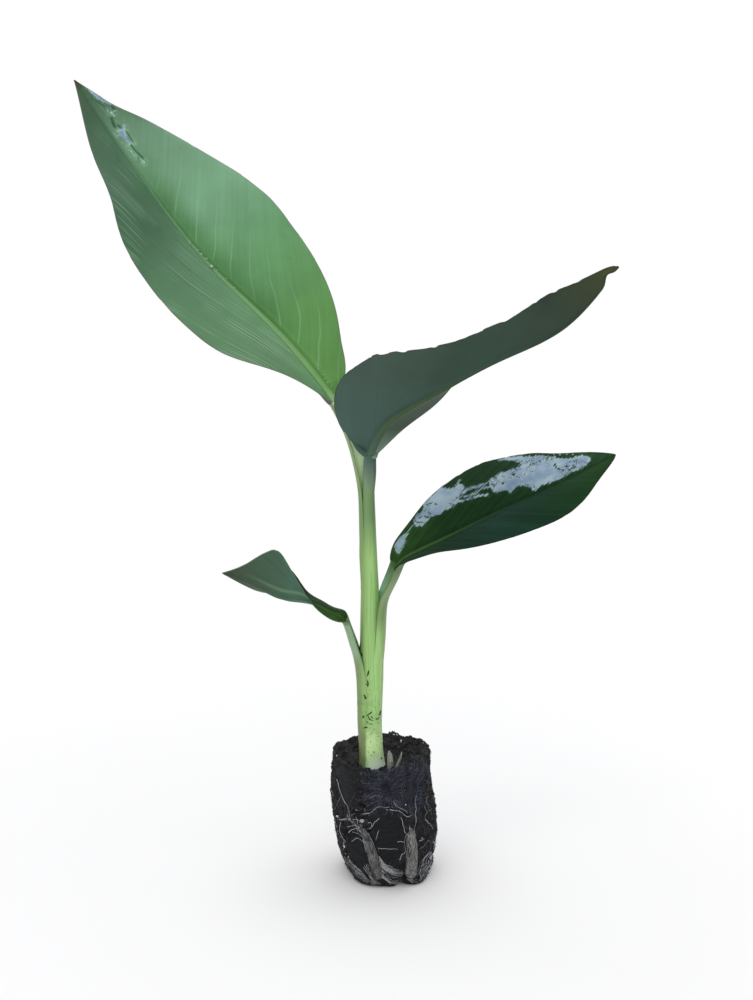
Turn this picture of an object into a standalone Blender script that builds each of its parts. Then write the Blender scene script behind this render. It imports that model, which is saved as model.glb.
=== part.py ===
"""A young banana plant standing on its root ball, at real size.

Metres, +Z up. The origin lies on the root ball's flat underside, below the middle of the ball.
The plant is built as it grows. A soft stem rises from the root ball. Each leaf is a sheath that
hugs the stem, a grooved stalk that parts from it, and a blade with its rib. The newest leaf
comes out of the top of the stem instead. Leaf 1 is the largest, leaf 2 the newest, and leaves 3
and 4 are the older ones below.
"""

from dataclasses import dataclass

import bmesh
import bpy
import numpy as np

MM = 0.001
CLEAR = 0.35 * MM  # gap left where two solids meet

# The root ball: a peat plug pushed out of its tray, leaning a little to the left at the top.
BALL_HEIGHTS = [0, 1.2, 5, 11, 19, 28, 37, 46, 52.5, 54]
BALL_RADII = [17.6, 18.9, 19.7, 20.6, 21.5, 21.7, 21.3, 20.7, 20.5, 19.2]
BALL_LEAN = [0.3, 0.3, 0.1, -0.1, -0.4, -1.0, -1.8, -2.2, -2.0, -1.7]
BALL_SIDES = 44
SOIL_Z = 49.5 * MM  # the flat patch of soil that the stem and shoots stand on
SOIL_PATCH_CENTRE = (-2.5 * MM, -5.5 * MM)
SOIL_PATCH_RADIUS = 10.5 * MM
SOIL_LUMP = 0.4 * MM  # how high and low the top's four soft waves run
SOIL_RINGS = (0.35, 0.7)  # where they lie between the rim and the flat patch
# Soft lumps round its side: height, lumps round it, turn with height in radians a metre, and phase.
BALL_LUMPS = [(0.35 * MM, 3, 0, 0.6), (0.3 * MM, 5, 111, 0), (0.2 * MM, 8, -167, 0)]
CLEFT = dict(azimuth=-70.0, width=7.0, reach=-4.0 * MM, top=16 * MM)  # a split at the ball's foot
TOE = dict(azimuth=-46.0, width=15.0, reach=2.4 * MM, top=14 * MM)  # peat that bulges beside it

# The stem, from its flat cut on the soil to the top, where the newest leaf comes out.
STEM_AXIS = [(-5.8, -6, 49.8), (-6.8, -6, 80), (-6.6, -6, 110), (-6.9, -6, 140), (-7.2, -6, 170)]
STEM_RADII = [5.0, 4.2, 4.1, 3.2, 2.3]
STEM_FLARE = 0.5 * MM
STEM_FLARE_HEIGHT = 4 * MM
STEM_SIDES = 24
STEM_RINGS = 20

BLADE_STRIPS = 7  # facets from the rib to each margin
STRIP_SPREAD = 1.35  # power that makes them wider towards the margin
RIPPLE_POWER = 1.5  # how much of a blade's ripple lies near its margin
TIP_HALF_WIDTH = 0.25  # mm; a blade ends in a tip this blunt
TIP_SPAN = 0.15  # share of a blade's length that its drawn-out tip takes up
TIP_TAPER = 0.1  # share of a blade's length over which it thins towards the tip
TIP_THINNING = 0.5  # share of its thickness that is left there
TWIST_LEAD = 0.25  # share of a twisted blade's length over which it leaves the stalk's groove
RIB_SIDE = 0.6  # mm; how much wider than the groove above it the rib is


@dataclass
class Half:
    """One side of a blade: its widest reach in mm, its outline's two powers, and its slope in degrees.
    A side that twists is given by points on its margin instead."""

    reach: float = 0.0
    swell: tuple = (1, 1)
    fold: tuple = (45, 45)
    curl: tuple = (0, 0)
    wave: tuple = (0, 1, 0)  # height in mm, waves along the margin, phase in turns
    trim: tuple = (0, 0)  # mm added to the width at even steps from the stalk to the tip
    margin: tuple = ()  # points in mm


@dataclass
class Leaf:
    """A blade on its rib's line, in mm, with the way its upper face looks at even steps along it."""

    spine: list
    facing: list
    left: Half  # the sides are named as seen from above, looking from the stalk to the tip
    right: Half
    base_half_width: float  # mm
    rib: float  # how deep the rib stands below the blade at the stalk, in mm
    thickness: float  # mm
    stations: int
    tip_pinch: float = 0.0  # share of the width that the drawn-out tip loses


LEAVES = {
    1: Leaf(
        spine=[(-20.5, 4, 202), (-44.5, 19, 228.5), (-72.5, 34, 253.5), (-99, 46, 285), (-130, 55, 329)],
        facing=[(0.45, -0.74, 0.62), (0.42, -0.78, 0.62), (0.42, -0.78, 0.60)],
        left=Half(
            reach=35.9,
            swell=(1.0, 1.13),
            fold=[20, 8, 26, 14],
            curl=[0, 0, -8, -8],
            wave=(1.2, 3.2, 0.05),
            trim=[0, -1.6, 1.9, 0.9, -0.6, -1.7, -0.3, -2.2, -1.2, 0, 0],
        ),
        right=Half(
            reach=38.6,
            swell=(1.05, 1.14),
            fold=[30, 22, 20, 20],
            curl=[0, -6, -10, -14],
            wave=(1.0, 2.3, 0.0),
            trim=[0, 0.5, 0, 0.3, 0.2, 0.4, -0.3, -1.4, -1.4, -1.5, 0],
        ),
        base_half_width=2.4,
        rib=2.4,
        thickness=1.9,
        stations=24,
        tip_pinch=0.2,
    ),
    2: Leaf(
        spine=[
            (-6.6, -7.5, 182),
            (0.5, -14, 196.5),
            (17.5, -26, 210),
            (42, -36, 225),
            (66, -44, 238.5),
            (85, -47, 261),
        ],
        facing=[(0.2, 0.9, 0.1), (-0.2, 0.75, 0.6), (-0.35, 0.65, 0.65), (-0.35, 0.65, 0.65)],
        left=Half(
            reach=26.5,
            swell=(0.83, 0.78),
            fold=[46, 42, 54, 60],
            trim=[0, 0.2, 3.8, 1.8, 0, 0, 0, 0, 0, 0, 0],
        ),
        right=Half(
            reach=27,
            swell=(0.36, 0.6),
            fold=[22, 17, -3, 10, 12],
            trim=[0, 2, -0.6, 0.5, 0.6, 0, -0.6, -1.2, 1.3, 0.5, 0],
        ),
        base_half_width=1.8,
        rib=2.0,
        thickness=1.4,
        stations=24,
        tip_pinch=0.2,
    ),
    3: Leaf(
        spine=[
            (4.4, -8.5, 136.5),
            (8.6, -10, 141.3),
            (23.5, -14, 150),
            (43, -18, 161),
            (66.5, -20, 172.8),
            (90, -20, 185),
        ],
        facing=[(-0.5, -0.3, 0.75), (-0.3, -0.45, 0.8), (-0.3, -0.45, 0.8)],
        left=Half(
            reach=25.2,
            swell=(0.8, 0.9),
            fold=[42, 17, 13],
            curl=[-10, -20, -20],
            trim=[0, -2.7, -1.5, -0.3, 0.8, 1.6, 1.3, 0.9, -0.6, 0, 0],
        ),
        right=Half(
            reach=17.0,
            swell=(0.9, 0.75),
            fold=[25, 10, 15],
            curl=[-10, -25, -30],
            trim=[0, -1.8, -4.1, -3, -1.8, -0.9, 0.3, 1.9, 2.1, 0, 0],
        ),
        base_half_width=3.9,
        rib=1.8,
        thickness=1.1,
        stations=24,
        tip_pinch=0.1,
    ),
    4: Leaf(
        spine=[
            (-16.5, -10, 113.6),
            (-19.2, -12.5, 116.9),
            (-22.4, -15, 119.6),
            (-27.2, -17, 122.7),
            (-32.3, -18.5, 124.5),
            (-37.9, -19, 125.2),
            (-43.9, -19, 126.6),
            (-53.9, -18.5, 131.5),
            (-65.8, -18, 136.1),
        ],
        facing=[(0.45, -0.35, 0.75), (0.45, -0.35, 0.75)],
        left=Half(
            margin=[
                (-18.2, -12, 113.4),
                (-21.4, -15.5, 115.4),
                (-24.7, -18.5, 118.3),
                (-29.3, -20.5, 123.3),
                (-34.2, -21, 131.4),
                (-39.5, -20.5, 141),
                (-45.4, -19.5, 146.2),
                (-55.8, -18.5, 140.4),
                (-65.9, -18, 136.3),
            ]
        ),
        right=Half(
            margin=[
                (-15.3, -9.6, 113.6),
                (-16.9, -9.8, 118),
                (-21.3, -10, 119.6),
                (-26.9, -11.5, 123.3),
                (-33.1, -13, 128.6),
                (-39.8, -14, 136.9),
                (-46.7, -12, 127.8),
                (-55.7, -16, 129.7),
                (-65.7, -18, 135.9),
            ]
        ),
        base_half_width=2.2,
        rib=1.0,
        thickness=0.7,
        stations=26,
    ),
}


@dataclass
class Stalk:
    """A leaf's foot. The sheath hugs the stem from foot_z to part_z, on the side at azimuth."""

    foot_z: float
    part_z: float
    azimuth: float
    wrap: float  # degrees that the sheath reaches round the stem to each side
    sheath: float  # its thickness in mm
    back: float  # thickness of the stalk at the blade, in mm
    free: list  # the middle of its groove between the stem and the blade, in mm


STALKS = {
    1: Stalk(
        foot_z=126,
        part_z=146,
        azimuth=145,
        wrap=80,
        sheath=0.8,
        back=2.2,
        free=[(-7.5, -5.8, 156), (-8.1, -5.2, 166), (-9.7, -4, 176), (-12.2, -2, 186), (-15.8, 1, 195)],
    ),
    3: Stalk(
        foot_z=60,
        part_z=96,
        azimuth=-15,
        wrap=67,
        sheath=1.4,
        back=2.2,
        free=[(-5.7, -6.3, 107), (-5, -6.8, 116), (-3.4, -7.5, 124), (-0.2, -8.1, 131)],
    ),
    4: Stalk(
        foot_z=50.3,
        part_z=76,
        azimuth=201,
        wrap=72,
        sheath=0.8,
        back=1.6,
        free=[(-7.2, -6, 84), (-8.2, -6.2, 92), (-10.1, -6.8, 99.5), (-12.4, -8, 106)],
    ),
}
STALK_RINGS = 18
STALK_SEGMENTS = 9  # facets across the back of a leaf stalk
SHEATH_SHARE = 0.4  # share of a stalk's rings that its sheath takes up
SHEATH_GAP = 1.3 * CLEAR  # a facet lies inside its circle, so the gap is drawn a little wider
SHEATH_FOOT = 0.4  # a sheath's thickness at its foot, as a share of its full thickness
LIP_DEGREES = 84.0  # how far a free stalk's section reaches round its groove to each side
TOP_STALK_RINGS = 7
TOP_STALK_GROOVE = (1.6, 0.5)  # half-width and depth at its foot, in mm
TOP_STALK_WALL = (0.45, 1.7)

# Two fleshy roots lie in grooves in the front of the ball: azimuths in degrees, heights in mm.
ROOTS = {
    "root_left": dict(azimuths=[-118, -109, -103, -100], heights=[29, 22, 12, 4], radii=[0.8, 1.9, 2.2, 1.9]),
    "root_right": dict(azimuths=[-58, -58, -58, -59], heights=[27, 20, 12, 4], radii=[0.9, 2.1, 2.4, 2.2]),
}
ROOT_SINK = 0.6 * MM  # the roots' centre line lies this far inside the ball's surface
ROOT_SIDES = 12
ROOT_RINGS = 12
ROOT_END = 0.55  # the end rings are this much of a root's thickness

# Two pale young shoots stand on the soil beside the stem: foot, tip and thickness in mm.
SHOOTS = {
    "shoot_near": dict(foot=(1.6, -10), tip=(1.4, -9.6, 57.2), radius=1.0),
    "shoot_far": dict(foot=(4.2, -8.2), tip=(6.4, -8.0, 56.0), radius=0.6),
}
SHOOT_SIDES = 10


def spline(values, t):
    """A natural cubic through evenly numbered values, read at each t from 0 to 1."""
    p = np.asarray(values, float)
    p = p.reshape(len(p), -1)
    n = len(p)
    system = np.eye(n)
    bends = np.zeros_like(p)
    for i in range(1, n - 1):
        system[i, i - 1 : i + 2] = 1, 4, 1
        bends[i] = 6 * (p[i + 1] - 2 * p[i] + p[i - 1])
    bends = np.linalg.solve(system, bends)
    place = np.clip(t, 0, 1) * (n - 1)
    i = np.minimum(place.astype(int), n - 2)
    f = (place - i)[:, None]
    g = 1 - f
    out = g * p[i] + f * p[i + 1] + ((g**3 - g) * bends[i] + (f**3 - f) * bends[i + 1]) / 6
    return out if out.shape[1] > 1 else out[:, 0]


def even_path(points, count):
    """Points spaced evenly by length along the spline through points."""
    dense = spline(points, np.linspace(0, 1, 400))
    length = np.concatenate([[0], np.cumsum(np.linalg.norm(np.diff(dense, axis=0), axis=1))])
    wanted = np.linspace(0, length[-1], count)
    return np.stack([np.interp(wanted, length, dense[:, k]) for k in range(3)], axis=1)


def unit(vectors):
    return vectors / np.linalg.norm(vectors, axis=-1, keepdims=True)


def smooth_step(t):
    t = np.clip(t, 0, 1)
    return t * t * (3 - 2 * t)


def along(path):
    """The direction of travel at each point of a path."""
    return unit(np.gradient(path, axis=0))


def square_to(tangents, directions):
    """The given directions, turned square to the tangents."""
    return unit(directions - (directions * tangents).sum(axis=1, keepdims=True) * tangents)


def polar(azimuth):
    """A level direction from an azimuth in degrees, 0 being +X and -90 the front."""
    a = np.radians(azimuth)
    return np.stack([np.cos(a), np.sin(a), np.zeros_like(a)], axis=-1)


def material(name, colour, roughness):
    made = bpy.data.materials.new(name)
    made.use_nodes = True
    shader = made.node_tree.nodes["Principled BSDF"]
    shader.inputs["Base Color"].default_value = (*colour, 1)
    shader.inputs["Roughness"].default_value = roughness
    shader.inputs["Metallic"].default_value = 0
    made.diffuse_color = (*colour, 1)
    return made


def loft(name, rings, finish):
    """One closed object: faces between rings of points, all run the same way, and a cap at each end."""
    mesh = bpy.data.meshes.new(name)
    bm = bmesh.new()
    loops = [[bm.verts.new(point) for point in ring] for ring in rings]
    for low, high in zip(loops, loops[1:]):
        for i in range(len(low)):
            j = (i + 1) % len(low)
            bm.faces.new((low[i], low[j], high[j], high[i]))
    bm.faces.new(loops[0][::-1])
    bm.faces.new(loops[-1])
    bmesh.ops.recalc_face_normals(bm, faces=bm.faces)
    bm.to_mesh(mesh)
    bm.free()
    mesh.shade_smooth()
    mesh.set_sharp_from_angle(angle=np.radians(50))
    mesh.materials.append(finish)
    made = bpy.data.objects.new(name, mesh)
    bpy.context.scene.collection.objects.link(made)
    return made


def stem_axis(z):
    """The stem's centre line at heights z, in metres."""
    points = np.array(STEM_AXIS) * MM
    t = (z - points[0, 2]) / (points[-1, 2] - points[0, 2])
    line = spline(points[:, :2], t)
    return np.column_stack([line, z])


def stem_radius(z):
    """The stem's radius at heights z: a slow taper, with a flare just above the soil."""
    low, high = STEM_AXIS[0][2] * MM, STEM_AXIS[-1][2] * MM
    taper = spline(STEM_RADII, (z - low) / (high - low)) * MM
    return taper + STEM_FLARE * np.exp(-(z - low) / STEM_FLARE_HEIGHT)


def circles(centres, radii, sides):
    """Level circles, one for each centre."""
    turn = polar(np.arange(sides) * 360 / sides)
    return centres[:, None] + radii[:, None, None] * turn[None]


def build_stem(finish):
    z = np.linspace(STEM_AXIS[0][2], STEM_AXIS[-1][2], STEM_RINGS) * MM
    return loft("stem", circles(stem_axis(z), stem_radius(z), STEM_SIDES), finish)


def foot_bump(at, z, azimuth, width, reach, top):
    """How far a bump at azimuth moves the ball's side, at each azimuth in at. It fades out to its top."""
    side = (at - azimuth + 180) % 360 - 180
    return reach * np.exp(-((side / width) ** 2)) * (1 - smooth_step(z / top))


def ball_radius(azimuth, z):
    """The root ball's side: its turned profile, a few soft lumps, and the cleft and the toe at its foot."""
    profile = np.interp(z / MM, BALL_HEIGHTS, BALL_RADII) * MM
    a = np.radians(azimuth)
    for height, count, rise, phase in BALL_LUMPS:
        profile = profile + height * np.sin(count * a + z * rise + phase)
    return profile + foot_bump(azimuth, z, **CLEFT) + foot_bump(azimuth, z, **TOE)


def ball_axis(z):
    lean = np.interp(z / MM, BALL_HEIGHTS, BALL_LEAN) * MM
    return np.stack([lean, np.zeros_like(z), z], axis=-1)


def ball_point(azimuth, z, sink):
    """Points this far under the ball's side."""
    return ball_axis(z) + (ball_radius(azimuth, z) - sink)[:, None] * polar(azimuth)


def build_ball(finish):
    azimuth = np.arange(BALL_SIDES) * 360 / BALL_SIDES
    rings = []
    for height in BALL_HEIGHTS:
        z = np.full(BALL_SIDES, height * MM)
        rings.append(ball_point(azimuth, z, 0))
    rim = rings[-1]
    patch_centre = np.array([*SOIL_PATCH_CENTRE, SOIL_Z])
    patch = patch_centre + SOIL_PATCH_RADIUS * polar(azimuth)
    for share in SOIL_RINGS:
        ring = rim + (patch - rim) * share
        ring[:, 2] += SOIL_LUMP * np.sin(np.radians(azimuth) * 4 + 5 * share)
        rings.append(ring)
    rings.append(patch)
    return loft("root_ball", rings, finish)


def root_rings(azimuths, heights, radii, extra=0.0):
    """Circles along a root that follows the ball's side, rounded at its ends, extra metres thicker."""
    t = np.linspace(0, 1, ROOT_RINGS)
    azimuth, z, radius = spline(azimuths, t), spline(heights, t) * MM, spline(radii, t) * MM
    path = ball_point(azimuth, z, ROOT_SINK)
    tangent = along(path)
    out = square_to(tangent, polar(azimuth))
    side = np.cross(tangent, out)
    path[0] -= tangent[0] * extra
    path[-1] += tangent[-1] * extra
    ends = np.ones(len(t))
    ends[[0, -1]] = ROOT_END
    turn = np.linspace(0, 2 * np.pi, ROOT_SIDES, endpoint=False)
    ring = np.cos(turn)[None, :, None] * out[:, None] + np.sin(turn)[None, :, None] * side[:, None]
    return path[:, None] + (radius * ends + extra)[:, None, None] * ring


def cut(target, cutter):
    """Cuts a groove with a helper object, which is then removed."""
    modifier = target.modifiers.new("groove", "BOOLEAN")
    modifier.operation = "DIFFERENCE"
    modifier.solver = "EXACT"
    modifier.object = cutter
    cutter.hide_render = True
    cutter.display_type = "WIRE"


def build_roots(ball, finish):
    for name, root in ROOTS.items():
        loft(name, root_rings(**root), finish)
        cut(ball, loft(name + "_groove", root_rings(**root, extra=CLEAR), finish))


def build_shoots(finish):
    t = np.array([0, 0.3, 0.6, 0.85, 1])
    taper = np.array([1, 1.05, 0.8, 0.5, 0.15])
    for name, shoot in SHOOTS.items():
        foot = np.array([shoot["foot"][0] * MM, shoot["foot"][1] * MM, SOIL_Z + CLEAR])
        tip = np.array(shoot["tip"]) * MM
        centres = foot + t[:, None] * (tip - foot)
        loft(name, circles(centres, shoot["radius"] * MM * taper, SHOOT_SIDES), finish)


def blade_frame(leaf):
    """The rib's line with its tangent, the way the upper face looks, and the right-hand side."""
    t = np.linspace(0, 1, leaf.stations)
    spine = np.array(leaf.spine) * MM
    rib = spline(spine, t) if leaf.left.margin else even_path(spine, leaf.stations)
    tangent = along(rib)
    up = square_to(tangent, spline(leaf.facing, t))
    return t, rib, tangent, up, np.cross(tangent, up)


def half_width(leaf, half, t):
    """How far a blade reaches from its rib, in metres, and its outline, which is t**a times (1 - t)**b.
    The base's share and the trim come on top of the outline."""
    a, b = half.swell
    widest = a / (a + b)
    outline = (t**a * (1 - t) ** b) / (widest**a * (1 - widest) ** b)
    outline = outline * (1 - leaf.tip_pinch * np.exp(-(((1 - t) / TIP_SPAN) ** 2)))
    base = leaf.base_half_width * (1 - t) ** 3 + spline(half.trim, t)
    return (half.reach * outline + base + TIP_HALF_WIDTH) * MM, outline


def twisted_surface(half, side, t, rib, up, across):
    """Rows of points straight from the rib to a margin that is drawn in space, and how far out each lies.
    At the stalk the sheet sets out at the first slope of fold."""
    reach = spline(np.array(half.margin) * MM, t) - rib
    width = np.linalg.norm(reach, axis=1)
    slope = np.radians(half.fold[0])
    folded = width[:, None] * (side * np.cos(slope) * across + np.sin(slope) * up)
    reach = folded + smooth_step(t / TWIST_LEAD)[:, None] * (reach - folded)
    steps = np.linspace(0, 1, BLADE_STRIPS + 1) ** STRIP_SPREAD
    return [rib + step * reach for step in steps], steps[:, None] * width


def half_surface(leaf, half, side, t, rib, up, across):
    """Rows of points from the rib out to one margin, and how far out each lies.
    Each strip slopes by fold plus its share of curl."""
    if half.margin:
        return twisted_surface(half, side, t, rib, up, across)
    width, outline = half_width(leaf, half, t)
    fold, curl = np.radians(spline(half.fold, t)), np.radians(spline(half.curl, t))
    steps = np.linspace(0, 1, BLADE_STRIPS + 1) ** STRIP_SPREAD
    rows = [rib]
    for near, far in zip(steps, steps[1:]):
        slope = fold + curl * (near + far) / 2
        way = side * np.cos(slope)[:, None] * across + np.sin(slope)[:, None] * up
        rows.append(rows[-1] + ((far - near) * width)[:, None] * way)
    height, waves, phase = half.wave
    ripple = height * MM * outline * np.sin(2 * np.pi * (waves * t + phase))
    rows = [row + (step**RIPPLE_POWER * ripple)[:, None] * up for row, step in zip(rows, steps)]
    return rows, steps[:, None] * width


def sheet(name, grid, finish):
    """An open surface through a grid of points, whose rows run from the left margin to the right one."""
    rows, columns = grid.shape[:2]
    corner = (np.arange(rows - 1)[:, None] * columns + np.arange(columns - 1)).ravel()
    faces = np.column_stack([corner, corner + 1, corner + columns + 1, corner + columns])
    mesh = bpy.data.meshes.new(name)
    mesh.from_pydata(grid.reshape(-1, 3).tolist(), [], faces.tolist())
    mesh.shade_smooth()
    mesh.materials.append(finish)
    made = bpy.data.objects.new(name, mesh)
    bpy.context.scene.collection.objects.link(made)
    return made


def thicken(made, depths):
    """Gives a sheet its body on the under side, as deep below each point as depths says."""
    group = made.vertex_groups.new(name="depth")
    deepest = depths.max()
    for index, depth in enumerate(depths.ravel()):
        group.add([index], depth / deepest, "REPLACE")
    modifier = made.modifiers.new("body", "SOLIDIFY")
    modifier.thickness = deepest
    modifier.offset = -1
    modifier.vertex_group = group.name


def build_blade(number, leaf, finish):
    """The upper face, thickened downwards. The rib is a rounded keel along the middle of the under side."""
    t, rib, _, up, across = blade_frame(leaf)
    left, left_off = half_surface(leaf, leaf.left, -1, t, rib, up, across)
    right, right_off = half_surface(leaf, leaf.right, 1, t, rib, up, across)
    upper = np.stack(left[:0:-1] + right, axis=1)
    off = np.concatenate([left_off[:0:-1], right_off]).T
    to_tip = 1 - t[:, None]
    rib_reach = (leaf.base_half_width * to_tip + RIB_SIDE) * MM
    keel = leaf.rib * to_tip * np.exp(-((off / rib_reach) ** 2))
    taper = TIP_THINNING + (1 - TIP_THINNING) * smooth_step(to_tip / TIP_TAPER)
    thicken(sheet(f"blade_{number}", upper, finish), (leaf.thickness * taper + keel) * MM)


def crescents(centres, up, across, inner, wall, reach):
    """Grooved sections: an outer arc away from up and an inner arc back, each of reach degrees each way.
    inner holds the groove's half-width and depth, and wall what the stalk adds to each of them."""
    turn = np.linspace(-1, 1, STALK_SEGMENTS + 1)[None] * np.radians(reach)[:, None]

    def arc(size):
        wide = (size[:, :1] * np.sin(turn))[:, :, None] * across[:, None]
        deep = (size[:, 1:] * np.cos(turn))[:, :, None] * up[:, None]
        return centres[:, None] + wide - deep

    return np.concatenate([arc(inner + wall), arc(inner)[:, ::-1]], axis=1)


def stalk_tip(leaf):
    """The groove's middle short of the blade, its direction and opening, and its half-width and depth."""
    _, rib, tangent, up, _ = blade_frame(leaf)
    slope = np.radians((leaf.left.fold[0] + leaf.right.fold[0]) / 2)
    width = (leaf.base_half_width + TIP_HALF_WIDTH) * MM
    groove = width * np.array([np.cos(slope), np.sin(slope)])
    return rib[0] - CLEAR * tangent[0] + groove[1] * up[0], tangent[0], up[0], groove


def build_stalk(number, stalk, leaf, finish):
    """The sheath follows the stem, then the groove's middle leaves the stem's axis for the blade."""
    tip, tip_tangent, tip_up, groove = stalk_tip(leaf)
    out = polar(stalk.azimuth)
    hug = round(STALK_RINGS * SHEATH_SHARE)
    sheath = stem_axis(np.linspace(stalk.foot_z, stalk.part_z, hug) * MM)
    t = np.linspace(0, 1, STALK_RINGS - hug + 1)[1:]
    free = spline(np.concatenate([sheath[-1:], np.array(stalk.free) * MM, tip[None]]), t)
    centres = np.concatenate([sheath, free])
    share = np.concatenate([np.zeros(hug), smooth_step(t)])[:, None]
    tangent = along(centres)
    tangent[-1] = tip_tangent
    up = square_to(tangent, (1 - share) * -out + share * tip_up)
    across = np.cross(tangent, up)

    stem_top = STEM_AXIS[-1][2] * MM
    hold = stem_radius(np.minimum(centres[:, 2], stem_top))[:, None] + SHEATH_GAP
    away = np.linalg.norm((centres - stem_axis(centres[:, 2]))[:, :2], axis=1)[:, None]
    clear_of_stem = np.hstack([np.sqrt(np.clip(hold**2 - away**2, 0, None)), hold - away])
    inner = np.maximum((1 - share) * hold + share * groove, clear_of_stem)
    grow = SHEATH_FOOT + (1 - SHEATH_FOOT) * smooth_step(np.linspace(0, 3, STALK_RINGS))[:, None]
    back = (stalk.sheath * grow * (1 - share) + stalk.back * share) * MM
    reach = (1 - share[:, 0]) * stalk.wrap + share[:, 0] * LIP_DEGREES
    sections = crescents(centres, up, across, inner, np.hstack([back / 2, back]), reach)
    return loft(f"stalk_{number}", sections, finish)


def build_top_stalk(leaf, finish):
    """The newest leaf's stalk stands on the stem's cut top and opens into its blade."""
    tip, tip_tangent, tip_up, groove = stalk_tip(leaf)
    foot = stem_axis(np.array([STEM_AXIS[-1][2] * MM]))[0] + np.array([0, 0, CLEAR])
    t = np.linspace(0, 1, TOP_STALK_RINGS)[:, None]
    centres = foot + t * (tip - foot)
    tangent = unit((1 - t) * np.array([0, 0, 1.0]) + t * tip_tangent)
    up = square_to(tangent, np.repeat(tip_up[None], len(t), axis=0))
    inner = (1 - t) * np.array(TOP_STALK_GROOVE) * MM + t * groove
    wall = np.repeat(np.array([TOP_STALK_WALL]) * MM, len(t), axis=0)
    reach = np.full(len(t), LIP_DEGREES)
    sections = crescents(centres, up, np.cross(tangent, up), inner, wall, reach)
    return loft("stalk_2", sections, finish)


def main():
    for old in list(bpy.data.objects):
        bpy.data.objects.remove(old)
    soil = material("moist_peat", (0.035, 0.030, 0.030), 0.95)
    root = material("root_skin", (0.28, 0.22, 0.16), 0.75)
    shoot = material("pale_shoot", (0.45, 0.46, 0.30), 0.55)
    stem = material("stem_skin", (0.33, 0.50, 0.16), 0.40)
    stalk = material("stalk_skin", (0.27, 0.42, 0.17), 0.42)
    blade = material("leaf_face", (0.06, 0.17, 0.04), 0.35)
    ball = build_ball(soil)
    build_roots(ball, root)
    build_shoots(shoot)
    build_stem(stem)
    build_top_stalk(LEAVES[2], stalk)
    for number, foot in STALKS.items():
        build_stalk(number, foot, LEAVES[number], stalk)
    for number, leaf in LEAVES.items():
        build_blade(number, leaf, blade)


main()
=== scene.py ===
# %% [markdown]
# A young banana plant, pushed out of its tray cell and stood on its bare root ball. The packed solids
# are the frame: they fix where each leaf, stalk and root lies. This lesson draws the living surface
# over them: blades as thin as a leaf, veins, wet patches, peat crumbs and fine roots.

# %% Load the frame
from dataclasses import dataclass
from itertools import combinations

import bpy
import numpy as np
from mathutils import Matrix
from mathutils.bvhtree import BVHTree


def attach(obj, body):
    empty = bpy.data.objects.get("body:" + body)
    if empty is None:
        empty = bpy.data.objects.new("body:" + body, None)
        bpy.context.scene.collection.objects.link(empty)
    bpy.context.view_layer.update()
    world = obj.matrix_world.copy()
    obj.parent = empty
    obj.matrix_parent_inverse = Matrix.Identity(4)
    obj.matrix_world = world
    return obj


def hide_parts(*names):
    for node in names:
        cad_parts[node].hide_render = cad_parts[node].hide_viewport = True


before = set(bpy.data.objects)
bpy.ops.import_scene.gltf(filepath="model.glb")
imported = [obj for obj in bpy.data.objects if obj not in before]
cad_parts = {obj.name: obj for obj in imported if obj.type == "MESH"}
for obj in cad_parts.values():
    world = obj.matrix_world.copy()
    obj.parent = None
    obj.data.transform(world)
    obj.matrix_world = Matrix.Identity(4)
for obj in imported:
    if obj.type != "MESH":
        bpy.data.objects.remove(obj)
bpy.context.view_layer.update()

MM = 0.001
print("nodes:", ", ".join(sorted(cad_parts)))

# %% [markdown]
# The plant was photographed from a little above, at arm's length. The same camera is needed twice
# here: to look through, and to say where on the surface a mark seen in the photograph lies. So its
# place is worked out first, from the point it looks at, its height above the level and its distance.

# %% Camera
IMAGE_WIDTH, IMAGE_HEIGHT = 753, 1000
FOCAL_PIXELS = 1718.0
SENSOR = 36.0
ELEVATION = np.radians(13.0)
DISTANCE = 0.70
TARGET = np.array([-0.004, 0.0, 0.162])
FORWARD = np.array([0.0, np.cos(ELEVATION), -np.sin(ELEVATION)])
RIGHT = np.array([1.0, 0.0, 0.0])
UPWARD = np.cross(RIGHT, FORWARD)
EYE = TARGET - DISTANCE * FORWARD


def add_camera():
    """A camera at the eye. Its lens is the focal length in pixels times sensor over picture height."""
    data = bpy.data.cameras.new("view")
    data.sensor_width = SENSOR
    data.lens = FOCAL_PIXELS * SENSOR / IMAGE_HEIGHT
    camera = bpy.data.objects.new("view", data)
    axes = np.column_stack([RIGHT, UPWARD, -FORWARD])
    camera.matrix_world = Matrix.Translation(EYE) @ Matrix(axes.tolist()).to_4x4()
    bpy.context.scene.collection.objects.link(camera)
    bpy.context.scene.camera = camera
    return camera


def seen_at(points):
    """Where the camera sees each point, in pixels of the photograph: x to the right, y down. Each is the
    distance aside over the depth, times the focal length, counted from the picture's middle."""
    away = np.asarray(points) - EYE
    depth = away @ FORWARD
    x = IMAGE_WIDTH / 2 + FOCAL_PIXELS * (away @ RIGHT) / depth
    y = IMAGE_HEIGHT / 2 - FOCAL_PIXELS * (away @ UPWARD) / depth
    return np.stack([x, y], axis=-1)


def ray_through(pixel):
    """The direction from the camera through a pixel of the photograph."""
    x = (pixel[0] - IMAGE_WIDTH / 2) / FOCAL_PIXELS
    y = (IMAGE_HEIGHT / 2 - pixel[1]) / FOCAL_PIXELS
    return FORWARD + x * RIGHT + y * UPWARD


camera = add_camera()
print("lens", round(camera.data.lens, 2), "mm, the frame's origin is seen at", seen_at([0, 0, 0]).round())

# %% [markdown]
# Light and floor. A leaf's shine shows the sky above it, so the main light is a sun lamp with a very
# wide disc, which acts as an overcast sky or a large soft box overhead. A pale floor sends light back
# up to the undersides. The world itself is dim, because a dark wet leaf would mirror a bright one
# everywhere, but the camera sees it as white as the floor.

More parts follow.
